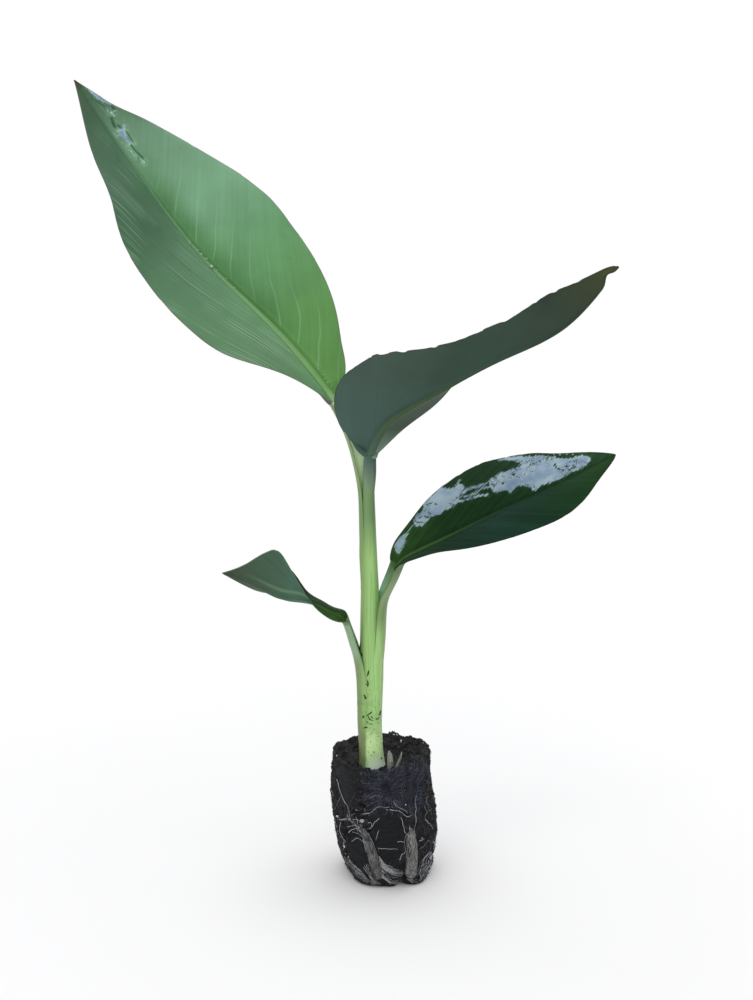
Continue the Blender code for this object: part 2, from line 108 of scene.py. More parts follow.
# %% Floor, sky and lamps
FLOOR_HALF = 30.0
FLOOR_COLOUR, FLOOR_ROUGHNESS, FLOOR_SHINE = (0.945, 0.915, 0.90), 0.9, 0.1


def add_floor():
    """A large square at height 0, for the render only."""
    corners = [(x * FLOOR_HALF, y * FLOOR_HALF, 0) for x, y in ((-1, -1), (1, -1), (1, 1), (-1, 1))]
    mesh = bpy.data.meshes.new("floor")
    mesh.from_pydata(corners, [], [(0, 1, 2, 3)])
    paper = bpy.data.materials.new("pale_floor")
    paper.use_nodes = True
    shader = paper.node_tree.nodes["Principled BSDF"]
    shader.inputs["Base Color"].default_value = (*FLOOR_COLOUR, 1)
    shader.inputs["Roughness"].default_value = FLOOR_ROUGHNESS
    shader.inputs["Specular IOR Level"].default_value = FLOOR_SHINE
    mesh.materials.append(paper)
    floor = bpy.data.objects.new("floor", mesh)
    bpy.context.scene.collection.objects.link(floor)


def add_world(light, shown):
    """A dim world that lights the plant, and the brighter one that the camera sees."""
    world = bpy.data.worlds.new("studio")
    world.use_nodes = True
    nodes, links = world.node_tree.nodes, world.node_tree.links
    fill = nodes["Background"]
    fill.inputs["Color"].default_value = (*light, 1)
    backdrop = nodes.new("ShaderNodeBackground")
    backdrop.inputs["Color"].default_value = (*shown, 1)
    mix = nodes.new("ShaderNodeMixShader")
    links.new(nodes.new("ShaderNodeLightPath").outputs["Is Camera Ray"], mix.inputs["Fac"])
    links.new(fill.outputs["Background"], mix.inputs[1])
    links.new(backdrop.outputs["Background"], mix.inputs[2])
    links.new(mix.outputs["Shader"], nodes["World Output"].inputs["Surface"])
    bpy.context.scene.world = world


def add_sun(name, direction, strength, angle, colour):
    """A sun lamp that shines from the given direction; angle is how wide its disc looks, in degrees."""
    data = bpy.data.lights.new(name, "SUN")
    data.energy = strength
    data.angle = np.radians(angle)
    data.color = colour
    lamp = bpy.data.objects.new(name, data)
    back = np.array(direction, float) / np.linalg.norm(direction)
    side = np.cross([0.0, 1.0, 0.0], back)
    side /= np.linalg.norm(side)
    lamp.matrix_world = Matrix(np.column_stack([side, np.cross(back, side), back]).tolist()).to_4x4()
    bpy.context.scene.collection.objects.link(lamp)


add_floor()
add_world(light=(0.20, 0.215, 0.235), shown=(1.0, 1.0, 1.0))
add_sun("soft_box_overhead", (0.02, 0.16, 0.8), strength=2.6, angle=92, colour=(0.96, 0.985, 1.0))
add_sun("soft_box_front", (-0.35, -0.9, 0.45), strength=0.75, angle=70, colour=(1.0, 1.0, 0.99))
bpy.context.scene.view_settings.view_transform = "Standard"
print("floor, world and two lamps")

# %% [markdown]
# Every shape below is a grid of points worked out at once with numpy. These are the small tools for it: a
# smooth curve through a few given values, a step that eases in and out, frames along a path, and soft random
# bumps that come out the same each time.

# %% Curves, frames and soft random values
PATH_STEPS = 1600


def spline(values, t):
    """A natural cubic through evenly numbered values, read at each t from 0 to 1: between two values it is
    their straight mix plus a cubic share of the bends at both, and the bends solve for a smooth join."""
    p = np.asarray(values, float)
    p = p.reshape(len(p), -1)
    n = len(p)
    system = np.eye(n)
    bends = np.zeros_like(p)
    for i in range(1, n - 1):
        system[i, i - 1 : i + 2] = 1, 4, 1
        bends[i] = 6 * (p[i + 1] - 2 * p[i] + p[i - 1])
    bends = np.linalg.solve(system, bends)
    place = np.clip(t, 0, 1) * (n - 1)
    i = np.minimum(place.astype(int), n - 2)
    f = (place - i)[..., None]
    g = 1 - f
    out = g * p[i] + f * p[i + 1] + ((g**3 - g) * bends[i] + (f**3 - f) * bends[i + 1]) / 6
    return out if out.shape[-1] > 1 else out[..., 0]


def lengths_along(path):
    """How far along a path each of its points lies: the running sum of its steps."""
    return np.concatenate([[0], np.cumsum(np.linalg.norm(np.diff(path, axis=0), axis=1))])


def even_path(points, t):
    """The spline through points, read at each t from 0 to 1 so that equal steps of t are equal lengths."""
    dense = spline(points, np.linspace(0, 1, PATH_STEPS))
    length = lengths_along(dense)
    return np.stack([np.interp(t * length[-1], length, dense[:, k]) for k in range(3)], axis=1)


def unit(vectors):
    """Vectors over their own lengths."""
    return vectors / np.linalg.norm(vectors, axis=-1, keepdims=True)


def smooth_step(t):
    """An eased step from 0 to 1: three times t squared, less twice t cubed."""
    t = np.clip(t, 0, 1)
    return t * t * (3 - 2 * t)


def hump(x, width):
    """A bell: 1 at 0, falling off over width to both sides."""
    return np.exp(-((x / width) ** 2))


def along(path):
    """The direction of travel at each point of a path."""
    return unit(np.gradient(path, axis=0))


def square_to(tangents, directions):
    """The given directions, turned square to the tangents."""
    return unit(directions - (directions * tangents).sum(axis=-1, keepdims=True) * tangents)


def polar(azimuth):
    """A level direction from an azimuth in degrees, 0 being +X and -90 the front."""
    a = np.radians(azimuth)
    return np.stack([np.cos(a), np.sin(a), np.zeros_like(a)], axis=-1)


SCATTER, SCATTER_STEP, SCATTER_GAIN = np.array([127.1, 311.7, 74.7]), 53.13, 43758.5453


def corner_value(cell, seed):
    """A fixed random value from -1 to 1 for each corner of a grid of cells: the far digits of a sine."""
    mixed = np.sin(cell @ SCATTER + seed * SCATTER_STEP) * SCATTER_GAIN
    return 2 * (mixed - np.floor(mixed)) - 1


def soft_noise(points, size, seed):
    """Smooth random values, about -1 to 1, in bumps size across: corner values eased into each other."""
    place = np.asarray(points) / size
    cell = np.floor(place)
    ease = smooth_step(place - cell)
    total = 0
    for corner in np.ndindex(2, 2, 2):
        corner = np.array(corner)
        weight = np.prod(np.where(corner, ease, 1 - ease), axis=-1)
        total = total + weight * corner_value(cell + corner, seed)
    return total


def rough_noise(points, size, octaves, seed):
    """Soft noise with finer and weaker copies of itself added."""
    layers = [soft_noise(points, size / 2**k, seed + k) / 2**k for k in range(octaves)]
    return sum(layers)


print("noise sample", soft_noise(np.eye(3), 0.7, 1).round(3))

# %% [markdown]
# A grid of points becomes a mesh in one place. Its rows run along the piece. Its columns run once
# round it, so the last column joins the first, and the two ends are closed by strips across. Values
# worked out with the shape, such as how far a point lies from the leaf's rib, go along as attributes,
# and the materials read them. A leaf's upper and under side are two materials of one mesh.

# %% From a grid of points to a mesh
pieces = {}


def strips(rows, columns):
    """The four-cornered faces of a grid whose last column joins its first, and of the strips that close
    its ends. Returns them and the column of each."""
    row, column = np.divmod(np.arange((rows - 1) * columns), columns)
    here, there = row * columns + column, row * columns + (column + 1) % columns
    sides = np.stack([here, there, there + columns, here + columns], axis=1)
    half = columns // 2
    k = np.arange(half - 1)
    lid = np.stack([k, columns - 1 - k, columns - 2 - k, k + 1], axis=1)
    last = (rows - 1) * columns + lid[:, ::-1]
    return np.concatenate([sides, lid, last]), np.concatenate([column, k, k])


def inside_out(points, faces):
    """True if the faces of a closed mesh point inwards, from the sign of its volume."""
    a, b, c, d = (points[faces[:, k]] for k in range(4))
    volume = np.einsum("ij,ij->i", a, np.cross(b, c) + np.cross(c, d)).sum()
    return volume < 0


def add_mesh(name, points, faces, materials, face_slots=None, values=None):
    """A smooth mesh object from arrays. values maps an attribute's name to one number for each point."""
    mesh = bpy.data.meshes.new(name)
    mesh.vertices.add(len(points))
    mesh.vertices.foreach_set("co", points.ravel().astype(np.float32))
    corners = faces.shape[1]
    mesh.loops.add(faces.size)
    mesh.loops.foreach_set("vertex_index", faces.ravel().astype(np.int32))
    mesh.polygons.add(len(faces))
    mesh.polygons.foreach_set("loop_start", np.arange(0, faces.size, corners, dtype=np.int32))
    mesh.polygons.foreach_set("use_smooth", np.ones(len(faces), bool))
    if face_slots is not None:
        mesh.polygons.foreach_set("material_index", face_slots.astype(np.int32))
    mesh.update()
    mesh.validate()
    for key, numbers in (values or {}).items():
        attribute = mesh.attributes.new(key, "FLOAT", "POINT")
        attribute.data.foreach_set("value", np.ascontiguousarray(numbers, np.float32).ravel())
    for material in materials:
        mesh.materials.append(material)
    made = bpy.data.objects.new(name, mesh)
    bpy.context.scene.collection.objects.link(made)
    pieces[name] = made
    return made


def add_skin(name, grid, materials, column_slots=None, values=None):
    """A closed piece from a grid of points, (rows, columns, 3), with its faces turned outwards."""
    rows, columns = grid.shape[:2]
    faces, column = strips(rows, columns)
    points = grid.reshape(-1, 3)
    if inside_out(points, faces):
        faces = faces[:, ::-1]
    slots = None if column_slots is None else column_slots[column]
    return add_mesh(name, points, faces, materials, slots, values)


def settle(piece, slot, *nodes):
    """The piece moves with the plant and stands for these nodes, which it hides. slot is not used."""
    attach(piece, "root")
    if nodes:
        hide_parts(*nodes)


# %% [markdown]
# Materials are small node trees. A few short ways to add a node keep each one readable. What several
# materials share is a group with named sockets: streaks that run along veins and fibres, soft mottling,
# small specks, and the water film that lies on two of the leaves.

# %% Short ways to add nodes
def rgb(red, green, blue):
    """A colour given as 0 to 255 on a screen, as the linear numbers that a shader takes."""
    c = np.array([red, green, blue]) / 255
    linear = np.where(c <= 0.04045, c / 12.92, ((c + 0.055) / 1.055) ** 2.4)
    return (*linear.tolist(), 1.0)


class Recipe:
    """A node tree with short ways to add the few kinds of node used here."""

    def __init__(self, tree):
        self.tree = tree

    def feed(self, socket, value):
        if isinstance(value, bpy.types.NodeSocket):
            self.tree.links.new(value, socket)
        else:
            socket.default_value = value

    def node(self, kind, inputs, **settings):
        made = self.tree.nodes.new("ShaderNode" + kind)
        for key, value in settings.items():
            setattr(made, key, value)
        for key, value in inputs.items():
            self.feed(made.inputs[key], value)
        return made

    def maths(self, operation, *values):
        return self.node("Math", dict(enumerate(values)), operation=operation).outputs[0]

    def vector_maths(self, operation, first, second):
        return self.node("VectorMath", {0: first, 1: second}, operation=operation).outputs[0]

    def times(self, *values):
        out = values[0]
        for value in values[1:]:
            out = self.maths("MULTIPLY", out, value)
        return out

    def plus(self, first, second):
        return self.maths("ADD", first, second)

    def ease(self, value, low, high, start=0.0, end=1.0):
        """start below low and end above high, with a smooth change between."""
        inputs = {"Value": value, "From Min": low, "From Max": high, "To Min": start, "To Max": end}
        return self.node("MapRange", inputs, interpolation_type="SMOOTHSTEP").outputs["Result"]

    def ramp(self, value, *stops):
        """A colour read off a row of (place, colour) stops, with places from 0 to 1."""
        ramp = self.node("ValToRGB", {"Fac": value})
        elements = ramp.color_ramp.elements
        for k, (place, colour) in enumerate(stops):
            element = elements[k] if k < 2 else elements.new(place)
            element.position, element.color = place, colour
        return ramp.outputs["Color"]

    def mix(self, factor, first, second):
        return self.node("Mix", {0: factor, 6: first, 7: second}, data_type="RGBA").outputs[2]

    def over(self, colour, tint, *masks):
        """The colour with a tint laid over it, as far as all the masks together let it."""
        return self.mix(self.times(*masks), colour, tint)

    def toned(self, colour, value):
        """The colour made darker by a value below 1, or lighter by one above."""
        return self.node("HueSaturation", {"Value": value, "Color": colour}).outputs[0]

    def vector(self, x, y, z):
        return self.node("CombineXYZ", {0: x, 1: y, 2: z}).outputs[0]

    def value_of(self, name):
        return self.node("Attribute", {}, attribute_name=name).outputs["Fac"]

    def place(self):
        return self.node("TexCoord", {}).outputs["Object"]

    def noise(self, vector, scale, detail=2.0, roughness=0.5):
        inputs = {"Vector": vector, "Scale": scale, "Detail": detail, "Roughness": roughness}
        return self.node("TexNoise", inputs).outputs["Fac"]

    def swing(self, vector, scale, detail=2.0, roughness=0.5):
        """Noise about nought, from -0.5 to 0.5."""
        return self.plus(self.noise(vector, scale, detail, roughness), -0.5)

    def use(self, group, **inputs):
        """A shared group; an input is named as its socket, with _ for a blank."""
        made = self.tree.nodes.new("ShaderNodeGroup")
        made.node_tree = group
        for key, value in inputs.items():
            self.feed(made.inputs[key.replace("_", " ")], value)
        return made.outputs

    def finish(self, shader, colour, height, strength, distance):
        """Feeds a shader its colour, and its normal from a height by way of a bump."""
        self.feed(shader["Base Color"], colour)
        bump = self.node("Bump", {"Height": height, "Strength": strength, "Distance": distance})
        self.feed(shader["Normal"], bump.outputs["Normal"])


print("ways to add a node:", sum(not name.startswith("_") for name in vars(Recipe)))

# %% New groups and materials
def new_group(name, inputs, outputs):
    """An empty group with float sockets, a vector socket for each three-part value and a colour socket for
    an output named Color. Returns its tree, a Recipe for it, and its two ends."""
    tree = bpy.data.node_groups.new(name, "ShaderNodeTree")
    for label, value in inputs.items():
        kind = "NodeSocketVector" if isinstance(value, tuple) else "NodeSocketFloat"
        tree.interface.new_socket(label, in_out="INPUT", socket_type=kind).default_value = value
    for label in outputs:
        kind = "NodeSocketColor" if label == "Color" else "NodeSocketFloat"
        tree.interface.new_socket(label, in_out="OUTPUT", socket_type=kind)
    ends = tree.nodes.new("NodeGroupInput").outputs, tree.nodes.new("NodeGroupOutput").inputs
    return tree, Recipe(tree), *ends


def new_material(name, roughness, shine=0.5):
    """An empty material. Returns it, a Recipe for it, and its shader's inputs."""
    material = bpy.data.materials.new(name)
    material.use_nodes = True
    shader = material.node_tree.nodes["Principled BSDF"].inputs
    shader["Roughness"].default_value = roughness
    shader["Specular IOR Level"].default_value = shine
    return material, Recipe(material.node_tree), shader


print("a screen's middle grey is", round(rgb(128, 128, 128)[0], 3), "to a shader")

# %% Groups that materials share
def make_streaks():
    """Noise drawn out into lines. Place is in mm, and its third number runs along the lines."""
    inputs = {"Place": (0.0, 0.0, 0.0), "Count": 1, "Length": 1}
    tree, r, given, out = new_group("streaks", inputs, ["Lines", "Height"])
    drawn_out = r.vector(given["Count"], given["Count"], given["Length"])
    place = r.vector_maths("MULTIPLY", given["Place"], drawn_out)
    fine = r.noise(place, 1.0, 3.0, 0.6)
    bold = r.noise(place, 0.23, 1.0, 0.5)
    r.feed(out["Lines"], r.ease(r.plus(r.times(fine, 0.6), r.times(bold, 0.4)), 0.36, 0.64))
    r.feed(out["Height"], fine)
    return tree


def make_mottle():
    """Soft patches over the surface, sized in mm."""
    tree, r, given, out = new_group("mottle", {"Patch Size": 10, "Seed": 0}, ["Patches"])
    scale = r.maths("DIVIDE", 1000.0, given["Patch Size"])
    place = r.vector_maths("ADD", r.place(), r.vector(given["Seed"], 0.0, 0.0))
    r.feed(out["Patches"], r.ease(r.noise(place, scale, 3.0, 0.55), 0.35, 0.65))
    return tree


def make_single_veins():
    """Thin single lines, a Pitch apart, where Place passes each whole number of pitches. All in mm."""
    inputs = {"Place": 0, "Pitch": 12, "Width": 0.3, "Wander": 1}
    tree, r, given, out = new_group("single veins", inputs, ["Mask"])
    wander = r.times(r.swing(r.place(), 30.0), given["Wander"], 14.0)
    away = r.maths("PINGPONG", r.plus(given["Place"], wander), r.times(given["Pitch"], 0.5))
    strength = r.ease(r.noise(r.place(), 22.0, 1.0), 0.4, 0.6, 0.35, 1.0)
    r.feed(out["Mask"], r.times(r.ease(away, given["Width"], 0.0), strength))
    return tree


def make_specks():
    """Small spots: 1 on each speck. Share says how much of the surface may carry them."""
    inputs = {"Speck Size": 1, "Share": 0.2, "Seed": 0}
    tree, r, given, out = new_group("specks", inputs, ["Mask"])
    scale = r.maths("DIVIDE", 1000.0, given["Speck Size"])
    place = r.vector_maths("ADD", r.place(), r.vector(0.0, given["Seed"], 0.0))
    limit = r.maths("SUBTRACT", 0.78, r.times(given["Share"], 0.4))
    r.feed(out["Mask"], r.ease(r.noise(place, scale, 1.0), limit, r.plus(limit, 0.04)))
    return tree


STREAKS, MOTTLE, SINGLE_VEINS, SPECKS = make_streaks(), make_mottle(), make_single_veins(), make_specks()
print("small groups:", ", ".join(sorted(group.name for group in bpy.data.node_groups)))

# %% The water film and the skin of the roll
def make_film():
    """Water that lies on a leaf. Inside counts millimetres inwards from the film's drawn edge, and Depth
    grows from its edge to its middle. Breaks says how much of it is broken by thin winding gaps."""
    inputs = {"Inside": -1, "Fray": 1, "Breaks": 0.5}
    tree, r, given, out = new_group("water film", inputs, ["Mask", "Depth", "Height"])
    fray = r.times(r.swing(r.place(), 1300.0, 3.0, 0.7), given["Fray"], 2.0)
    ragged = r.plus(given["Inside"], fray)
    winding = r.maths("ABSOLUTE", r.swing(r.place(), 420.0, 3.0, 0.6))
    where = r.ease(r.noise(r.place(), 95.0, 1.0), 0.52, 0.62)
    gaps = r.times(r.ease(winding, 0.04, 0.015), where, given["Breaks"])
    mask = r.times(r.ease(ragged, -0.06, 0.1), r.maths("SUBTRACT", 1.0, gaps))
    r.feed(out["Mask"], mask)
    r.feed(out["Depth"], r.ease(ragged, 0.0, 0.45))
    r.feed(out["Height"], r.times(mask, r.plus(0.7, winding)))
    return tree


# Where the roll's colours change, in metres: across it from its left edge to its right, and up it.
# Across the roll the colours are painted light and shade: darker at its left and right edges, lighter towards
# +x.
SHADED_LEFT_TO_LIT_MIDDLE, SHADED_LEFT_RIM, SHADED_RIGHT_RIM = (-0.0128, -0.0040), (-0.0105, -0.0128), (-0.0026, -0.0008)
GREEN_TOP = (0.138, 0.160)
PALE_UP, PALE_ACROSS = (0.0700, 0.0610), (-0.0090, -0.0078)
BROWN_UP, BROWN_ACROSS = (0.072, 0.062), (-0.0082, -0.0087)
SOIL_UP, STAIN_UP = (0.092, 0.074), (0.095, 0.070)
WHITE_MIDDLE, WHITE_BEND, WHITE_UP = 0.0034, 190.0, (0.0566, 0.0512)


def make_sheath_skin():
    """The roll of leaf sheaths, coloured by place: painted light makes it brighter to +x and painted shade
    darkens its left and right edges; paler low down, partly painted light against the shadow of the ball's
    rim; soiled low down, white where it grew in the dark. All of its layers share it."""
    tree, r, _, out = new_group("sheath skin", {}, ["Color", "Height"])
    at = r.node("SeparateXYZ", {0: r.place()}).outputs
    x, z = at["X"], at["Z"]
    millimetres = r.vector_maths("MULTIPLY", r.place(), (1000.0, 1000.0, 1000.0))
    lines = r.use(STREAKS, Place=millimetres, Count=1.6, Length=0.04)
    # Painted light and shade: lighter towards +x, darker at the roll's left and right edges.
    colour = r.mix(r.ease(x, *SHADED_LEFT_TO_LIT_MIDDLE), rgb(128, 158, 92), rgb(172, 218, 134))
    colour = r.over(colour, rgb(126, 142, 92), r.ease(x, *SHADED_LEFT_RIM))
    colour = r.over(colour, rgb(150, 178, 118), r.ease(x, *SHADED_RIGHT_RIM))
    colour = r.toned(colour, r.ease(lines["Lines"], 0.0, 1.0, 0.87, 1.1))
    colour = r.over(colour, rgb(122, 156, 102), r.ease(z, *GREEN_TOP))
    ragged = r.plus(z, r.times(r.swing(r.place(), 420.0, 3.0, 0.6), 0.006))
    # Paler low down: partly the sheaths' own colour, partly painted light against the shadow of the ball's
    # rim.
    colour = r.over(colour, rgb(214, 246, 174), r.ease(ragged, *PALE_UP), r.ease(x, *PALE_ACROSS), 0.85)
    colour = r.over(colour, rgb(120, 122, 88), r.ease(z, *BROWN_UP), r.ease(x, *BROWN_ACROSS), 0.6)
    specks = r.use(SPECKS, Speck_Size=0.9, Share=0.34, Seed=4.0)["Mask"]
    colour = r.over(colour, rgb(86, 98, 58), r.ease(z, *SOIL_UP), specks, 0.55)
    stains = r.ease(r.noise(r.place(), 240.0, 3.0, 0.6), 0.5, 0.7)
    colour = r.over(colour, rgb(110, 118, 74), stains, r.ease(z, *STAIN_UP), 0.22)
    aside = r.plus(x, WHITE_MIDDLE)
    white = r.ease(r.plus(ragged, r.times(aside, aside, WHITE_BEND)), *WHITE_UP)
    r.feed(out["Color"], r.over(colour, rgb(240, 255, 234), white, 0.9))
    r.feed(out["Height"], lines["Height"])
    return tree


FILM, SHEATH_SKIN = make_film(), make_sheath_skin()
print("groups:", ", ".join(sorted(group.name for group in bpy.data.node_groups)))

# %% [markdown]
# The leaf blades. A banana blade is two soft halves on a grooved rib, and its shape on the real plant
# is easy to say: a line for the rib, how far each half reaches from it, and how steeply each half
# rises. These are the driving sizes of the solids, written again because this file reads only the
# frame. A blade could be one flat card with a picture on it, but then it would have no under side and
# no rib to catch the light, so it is a closed skin a third of a millimetre thick.

# %% The four leaves, in mm
@dataclass
class Half:
    """One side of a blade. swell holds the two powers of its outline. fold and curl are degrees at even
    steps from the stalk to the tip. wave is a height in mm, a count, and where the first wave starts."""

    reach: float = 0.0
    swell: tuple = (1, 1)
    fold: tuple = (45, 45)
    curl: tuple = (0, 0)
    wave: tuple = (0, 1, 0)
    trim: tuple = (0, 0)  # mm added to the half-width, at even steps from the stalk to the tip
    margin: tuple = ()  # points of the margin itself, for the leaf that twists


@dataclass
class Leaf:
    """A blade on its rib's line, with the way its upper face looks at even steps along it."""

    spine: list
    facing: list
    left: Half
    right: Half
    base_half_width: float
    rib: float
    length: float
    cup: float  # the length over which the stalk's round groove opens into the blade's fold
    tip_pinch: float = 0.0


LEAVES = {
    1: Leaf(
        spine=[(-20.5, 4, 202), (-44.5, 19, 228.5), (-72.5, 34, 253.5), (-99, 46, 285), (-130, 55, 329)],
        facing=[(0.45, -0.74, 0.62), (0.42, -0.78, 0.62), (0.42, -0.78, 0.60)],
        left=Half(
            reach=35.9, swell=(1.0, 1.13), fold=[20, 8, 26, 14], curl=[0, 0, -8, -8],
            wave=(1.2, 3.2, 0.05),
            trim=[0, -1.6, 1.9, 0.9, -0.6, -1.7, -0.3, -2.2, -1.2, 0, 0],
        ),
        right=Half(
            reach=38.6, swell=(1.05, 1.14), fold=[30, 22, 20, 20], curl=[0, -6, -10, -14],
            wave=(1.0, 2.3, 0.0),
            trim=[0, 2.0, 0.4, -0.1, 0, 0.2, 0.3, 0.3, 0.2, 0.3, 0.4, 0, -0.3, -0.9, -1.4, -1.5, -1.4, -1.2,
                  -1.5, -0.4, 0],
        ),
        base_half_width=2.4, rib=1.5, length=177, cup=8, tip_pinch=0.2,
    ),
    2: Leaf(
        spine=[(-6.6, -7.5, 182), (0.5, -14, 196.5), (17.5, -26, 210), (42, -36, 225), (66, -44, 238.5),
               (85, -47, 261)],
        facing=[(0.2, 0.9, 0.1), (-0.2, 0.75, 0.6), (-0.35, 0.65, 0.65), (-0.35, 0.65, 0.65)],
        left=Half(
            reach=26.5, swell=(0.83, 0.78), fold=[46, 42, 54, 60],
            trim=[0, 0.2, 3.8, 1.8, 0, 0, 0, 0, 0, 0, 0.8],
        ),
        right=Half(
            reach=27, swell=(0.36, 0.6), fold=[22, 17, -3, 10, 12],
            trim=[0, 2, -0.6, 0.5, 0.6, 0, -0.6, -1.2, 1.3, 0.5, 0],
        ),
        base_half_width=1.8, rib=1.3, length=130, cup=1.5, tip_pinch=0.2,
    ),
    3: Leaf(
        spine=[(4.4, -8.5, 136.5), (8.6, -10, 141.3), (23.5, -14, 150), (43, -18, 161), (66.5, -20, 172.8),
               (90, -20, 185)],
        facing=[(-0.5, -0.3, 0.75), (-0.3, -0.45, 0.8), (-0.3, -0.45, 0.8)],
        left=Half(
            reach=25.2, swell=(0.8, 0.9), fold=[42, 17, 13], curl=[-10, -20, -20],
            trim=[0, -2.7, -1.5, -0.3, 0.8, 1.6, 1.3, 0.9, -0.6, 0, 0],
        ),
        right=Half(
            reach=17.0, swell=(0.9, 0.75), fold=[25, 10, 15], curl=[-10, -25, -30],
            trim=[0, -1.8, -4.1, -3, -1.8, -0.9, 0.3, 1.9, 2.1, 0, 0],
        ),
        base_half_width=3.9, rib=1.2, length=97, cup=5, tip_pinch=0.1,
    ),
    4: Leaf(
        spine=[(-16.5, -10, 113.6), (-19.2, -12.5, 116.9), (-22.4, -15, 119.6), (-27.2, -17, 122.7),
               (-32.3, -18.5, 124.5), (-37.9, -19, 125.2), (-43.9, -19, 126.6), (-53.9, -18.5, 131.5),
               (-65.8, -18, 136.1)],
        facing=[(0.45, -0.35, 0.75), (0.45, -0.35, 0.75)],
        left=Half(
            margin=[(-18.2, -12, 113.4), (-21.4, -15.5, 115.4), (-24.7, -18.5, 118.3), (-29.3, -20.5, 123.3),
                    (-34.2, -21, 131.4), (-39.5, -20.5, 141), (-45.4, -19.5, 146.2), (-55.8, -18.5, 140.4),
                    (-65.9, -18, 136.3)],
        ),
        right=Half(
            margin=[(-15.3, -9.6, 113.6), (-16.9, -9.8, 118), (-21.3, -10, 119.6), (-26.9, -11.5, 123.3),
                    (-33.1, -13, 128.6), (-39.8, -14, 136.9), (-46.7, -12, 127.8), (-55.7, -16, 129.7),
                    (-65.7, -18, 135.9)],
        ),
        base_half_width=2.2, rib=0.4, length=62, cup=3,
    ),
}  # fmt: skip
print("blade lengths in mm:", [leaf.length for leaf in LEAVES.values()])

# %% Each half of a blade as a sheet
BLADE_ROWS = 230
ROW_SPREAD = 1.35  # above 1, the rows lie closer together near the stalk
BLADE_COLUMNS = 62  # from the rib to each margin
COLUMN_SPREAD = 1.25  # above 1, the columns lie closer together near the rib
TIP_HALF_WIDTH = 0.25  # mm
TIP_SPAN = 0.15  # the drawn-out tip's share of the length
RIPPLE_POWER = 1.5  # above 1, the waves grow faster towards the margin
LIP_DEGREES = 84.0  # how far round the stalk's cup reaches to each side


def blade_frame(leaf):
    """The rib's line with its tangent, the way the upper face looks, and the right-hand side."""
    t = np.linspace(0, 1, BLADE_ROWS) ** ROW_SPREAD
    points = np.array(leaf.spine) * MM
    rib = spline(points, t) if leaf.left.margin else even_path(points, t)
    tangent = unit(np.gradient(rib, t, axis=0))
    up = square_to(tangent, spline(leaf.facing, t))
    return t, rib, tangent, up, np.cross(tangent, up)


def outline_of(half, t, tip_pinch):
    """t to one power times 1 - t to another, scaled to reach 1, and narrowed in the drawn-out tip."""
    a, b = half.swell
    widest = a / (a + b)
    outline = (t**a * (1 - t) ** b) / (widest**a * (1 - widest) ** b)
    return outline * (1 - tip_pinch * hump(1 - t, TIP_SPAN))


def laid_out(line, across, up, out, rise):
    """Points beside a line: for each (row, column), out along that row's across and rise along its up."""
    return line[:, None] + out[..., None] * across[:, None] + rise[..., None] * up[:, None]


def sloping_sheet(leaf, half, side, frame_of, r, nicks):
    """From the rib the sheet sets out at the slope given by fold. The slope changes by curl on its way to
    the margin, so a point is the sum of many short steps along the slope."""
    t, rib, _, up, across = frame_of
    outline = outline_of(half, t, leaf.tip_pinch)
    base = leaf.base_half_width * (1 - t) ** 3 + TIP_HALF_WIDTH
    width = (half.reach * outline + base + spline(half.trim, t)) * MM * (1 - nicks)
    fold, curl = np.radians(spline(half.fold, t)), np.radians(spline(half.curl, t))
    slope = fold[:, None] + curl[:, None] * (r[1:] + r[:-1])[None] / 2
    step = np.diff(r)[None] * width[:, None]
    out = np.cumsum(np.pad(step * np.cos(slope), ((0, 0), (1, 0))), axis=1)
    rise = np.cumsum(np.pad(step * np.sin(slope), ((0, 0), (1, 0))), axis=1)
    height, waves, phase = half.wave
    ripple = height * MM * outline * np.sin(2 * np.pi * (waves * t + phase))
    rise = rise + r[None] ** RIPPLE_POWER * ripple[:, None]
    return laid_out(rib, across, up, side * out, rise), width


def half_sheet(leaf, half, side, frame_of, nicks):
    """The upper face from the rib to one margin, and how far each point lies from the rib and from the
    margin. A half follows its slopes, or is drawn straight from the rib to its margin. Near the stalk it
    is blended into a round cup of the same width."""
    t, rib, _, up, across = frame_of
    r = np.linspace(0, 1, BLADE_COLUMNS + 1) ** COLUMN_SPREAD
    if half.margin:
        out = (spline(np.array(half.margin) * MM, t) - rib) * (1 - nicks)[:, None]
        sheet, width = rib[:, None] + r[None, :, None] * out[:, None], np.linalg.norm(out, axis=1)
    else:
        sheet, width = sloping_sheet(leaf, half, side, frame_of, r, nicks)
    cup = 1 - smooth_step(t * leaf.length / leaf.cup)[:, None, None]
    fold = np.radians((leaf.left.fold[0] + leaf.right.fold[0]) / 2)
    turn = np.radians(LIP_DEGREES) * r[None]
    cup_out = width[:, None] * np.cos(fold) * np.sin(turn)
    cup_rise = width[:, None] * np.sin(fold) * (1 - np.cos(turn))
    sheet = sheet + cup * (laid_out(rib, across, up, side * cup_out, cup_rise) - sheet)
    return sheet, r[None] * width[:, None], (1 - r)[None] * width[:, None]


ribs = [lengths_along(blade_frame(leaf)[1])[-1] / MM for leaf in LEAVES.values()]
print("rib lengths in mm:", np.round(ribs, 1))

# %% What sets each blade's surface apart
@dataclass
class Look:
    """What sets one blade's surface apart. Lengths in mm."""

    vein_lean: tuple  # how far a vein runs towards the tip for each mm out from the rib, left and right
    vein_bend: tuple  # and for each square mm
    pucker: float  # height of the blade's soft unevenness
    ragged: tuple  # share of the width that small nicks take from the left and the right margin
    groove: float  # the width of the groove over the rib, as a share of the half-width at the stalk
    seed: int
    kink: tuple = (0, 0, 0)  # how far a hooked tip draws the rib aside just below it


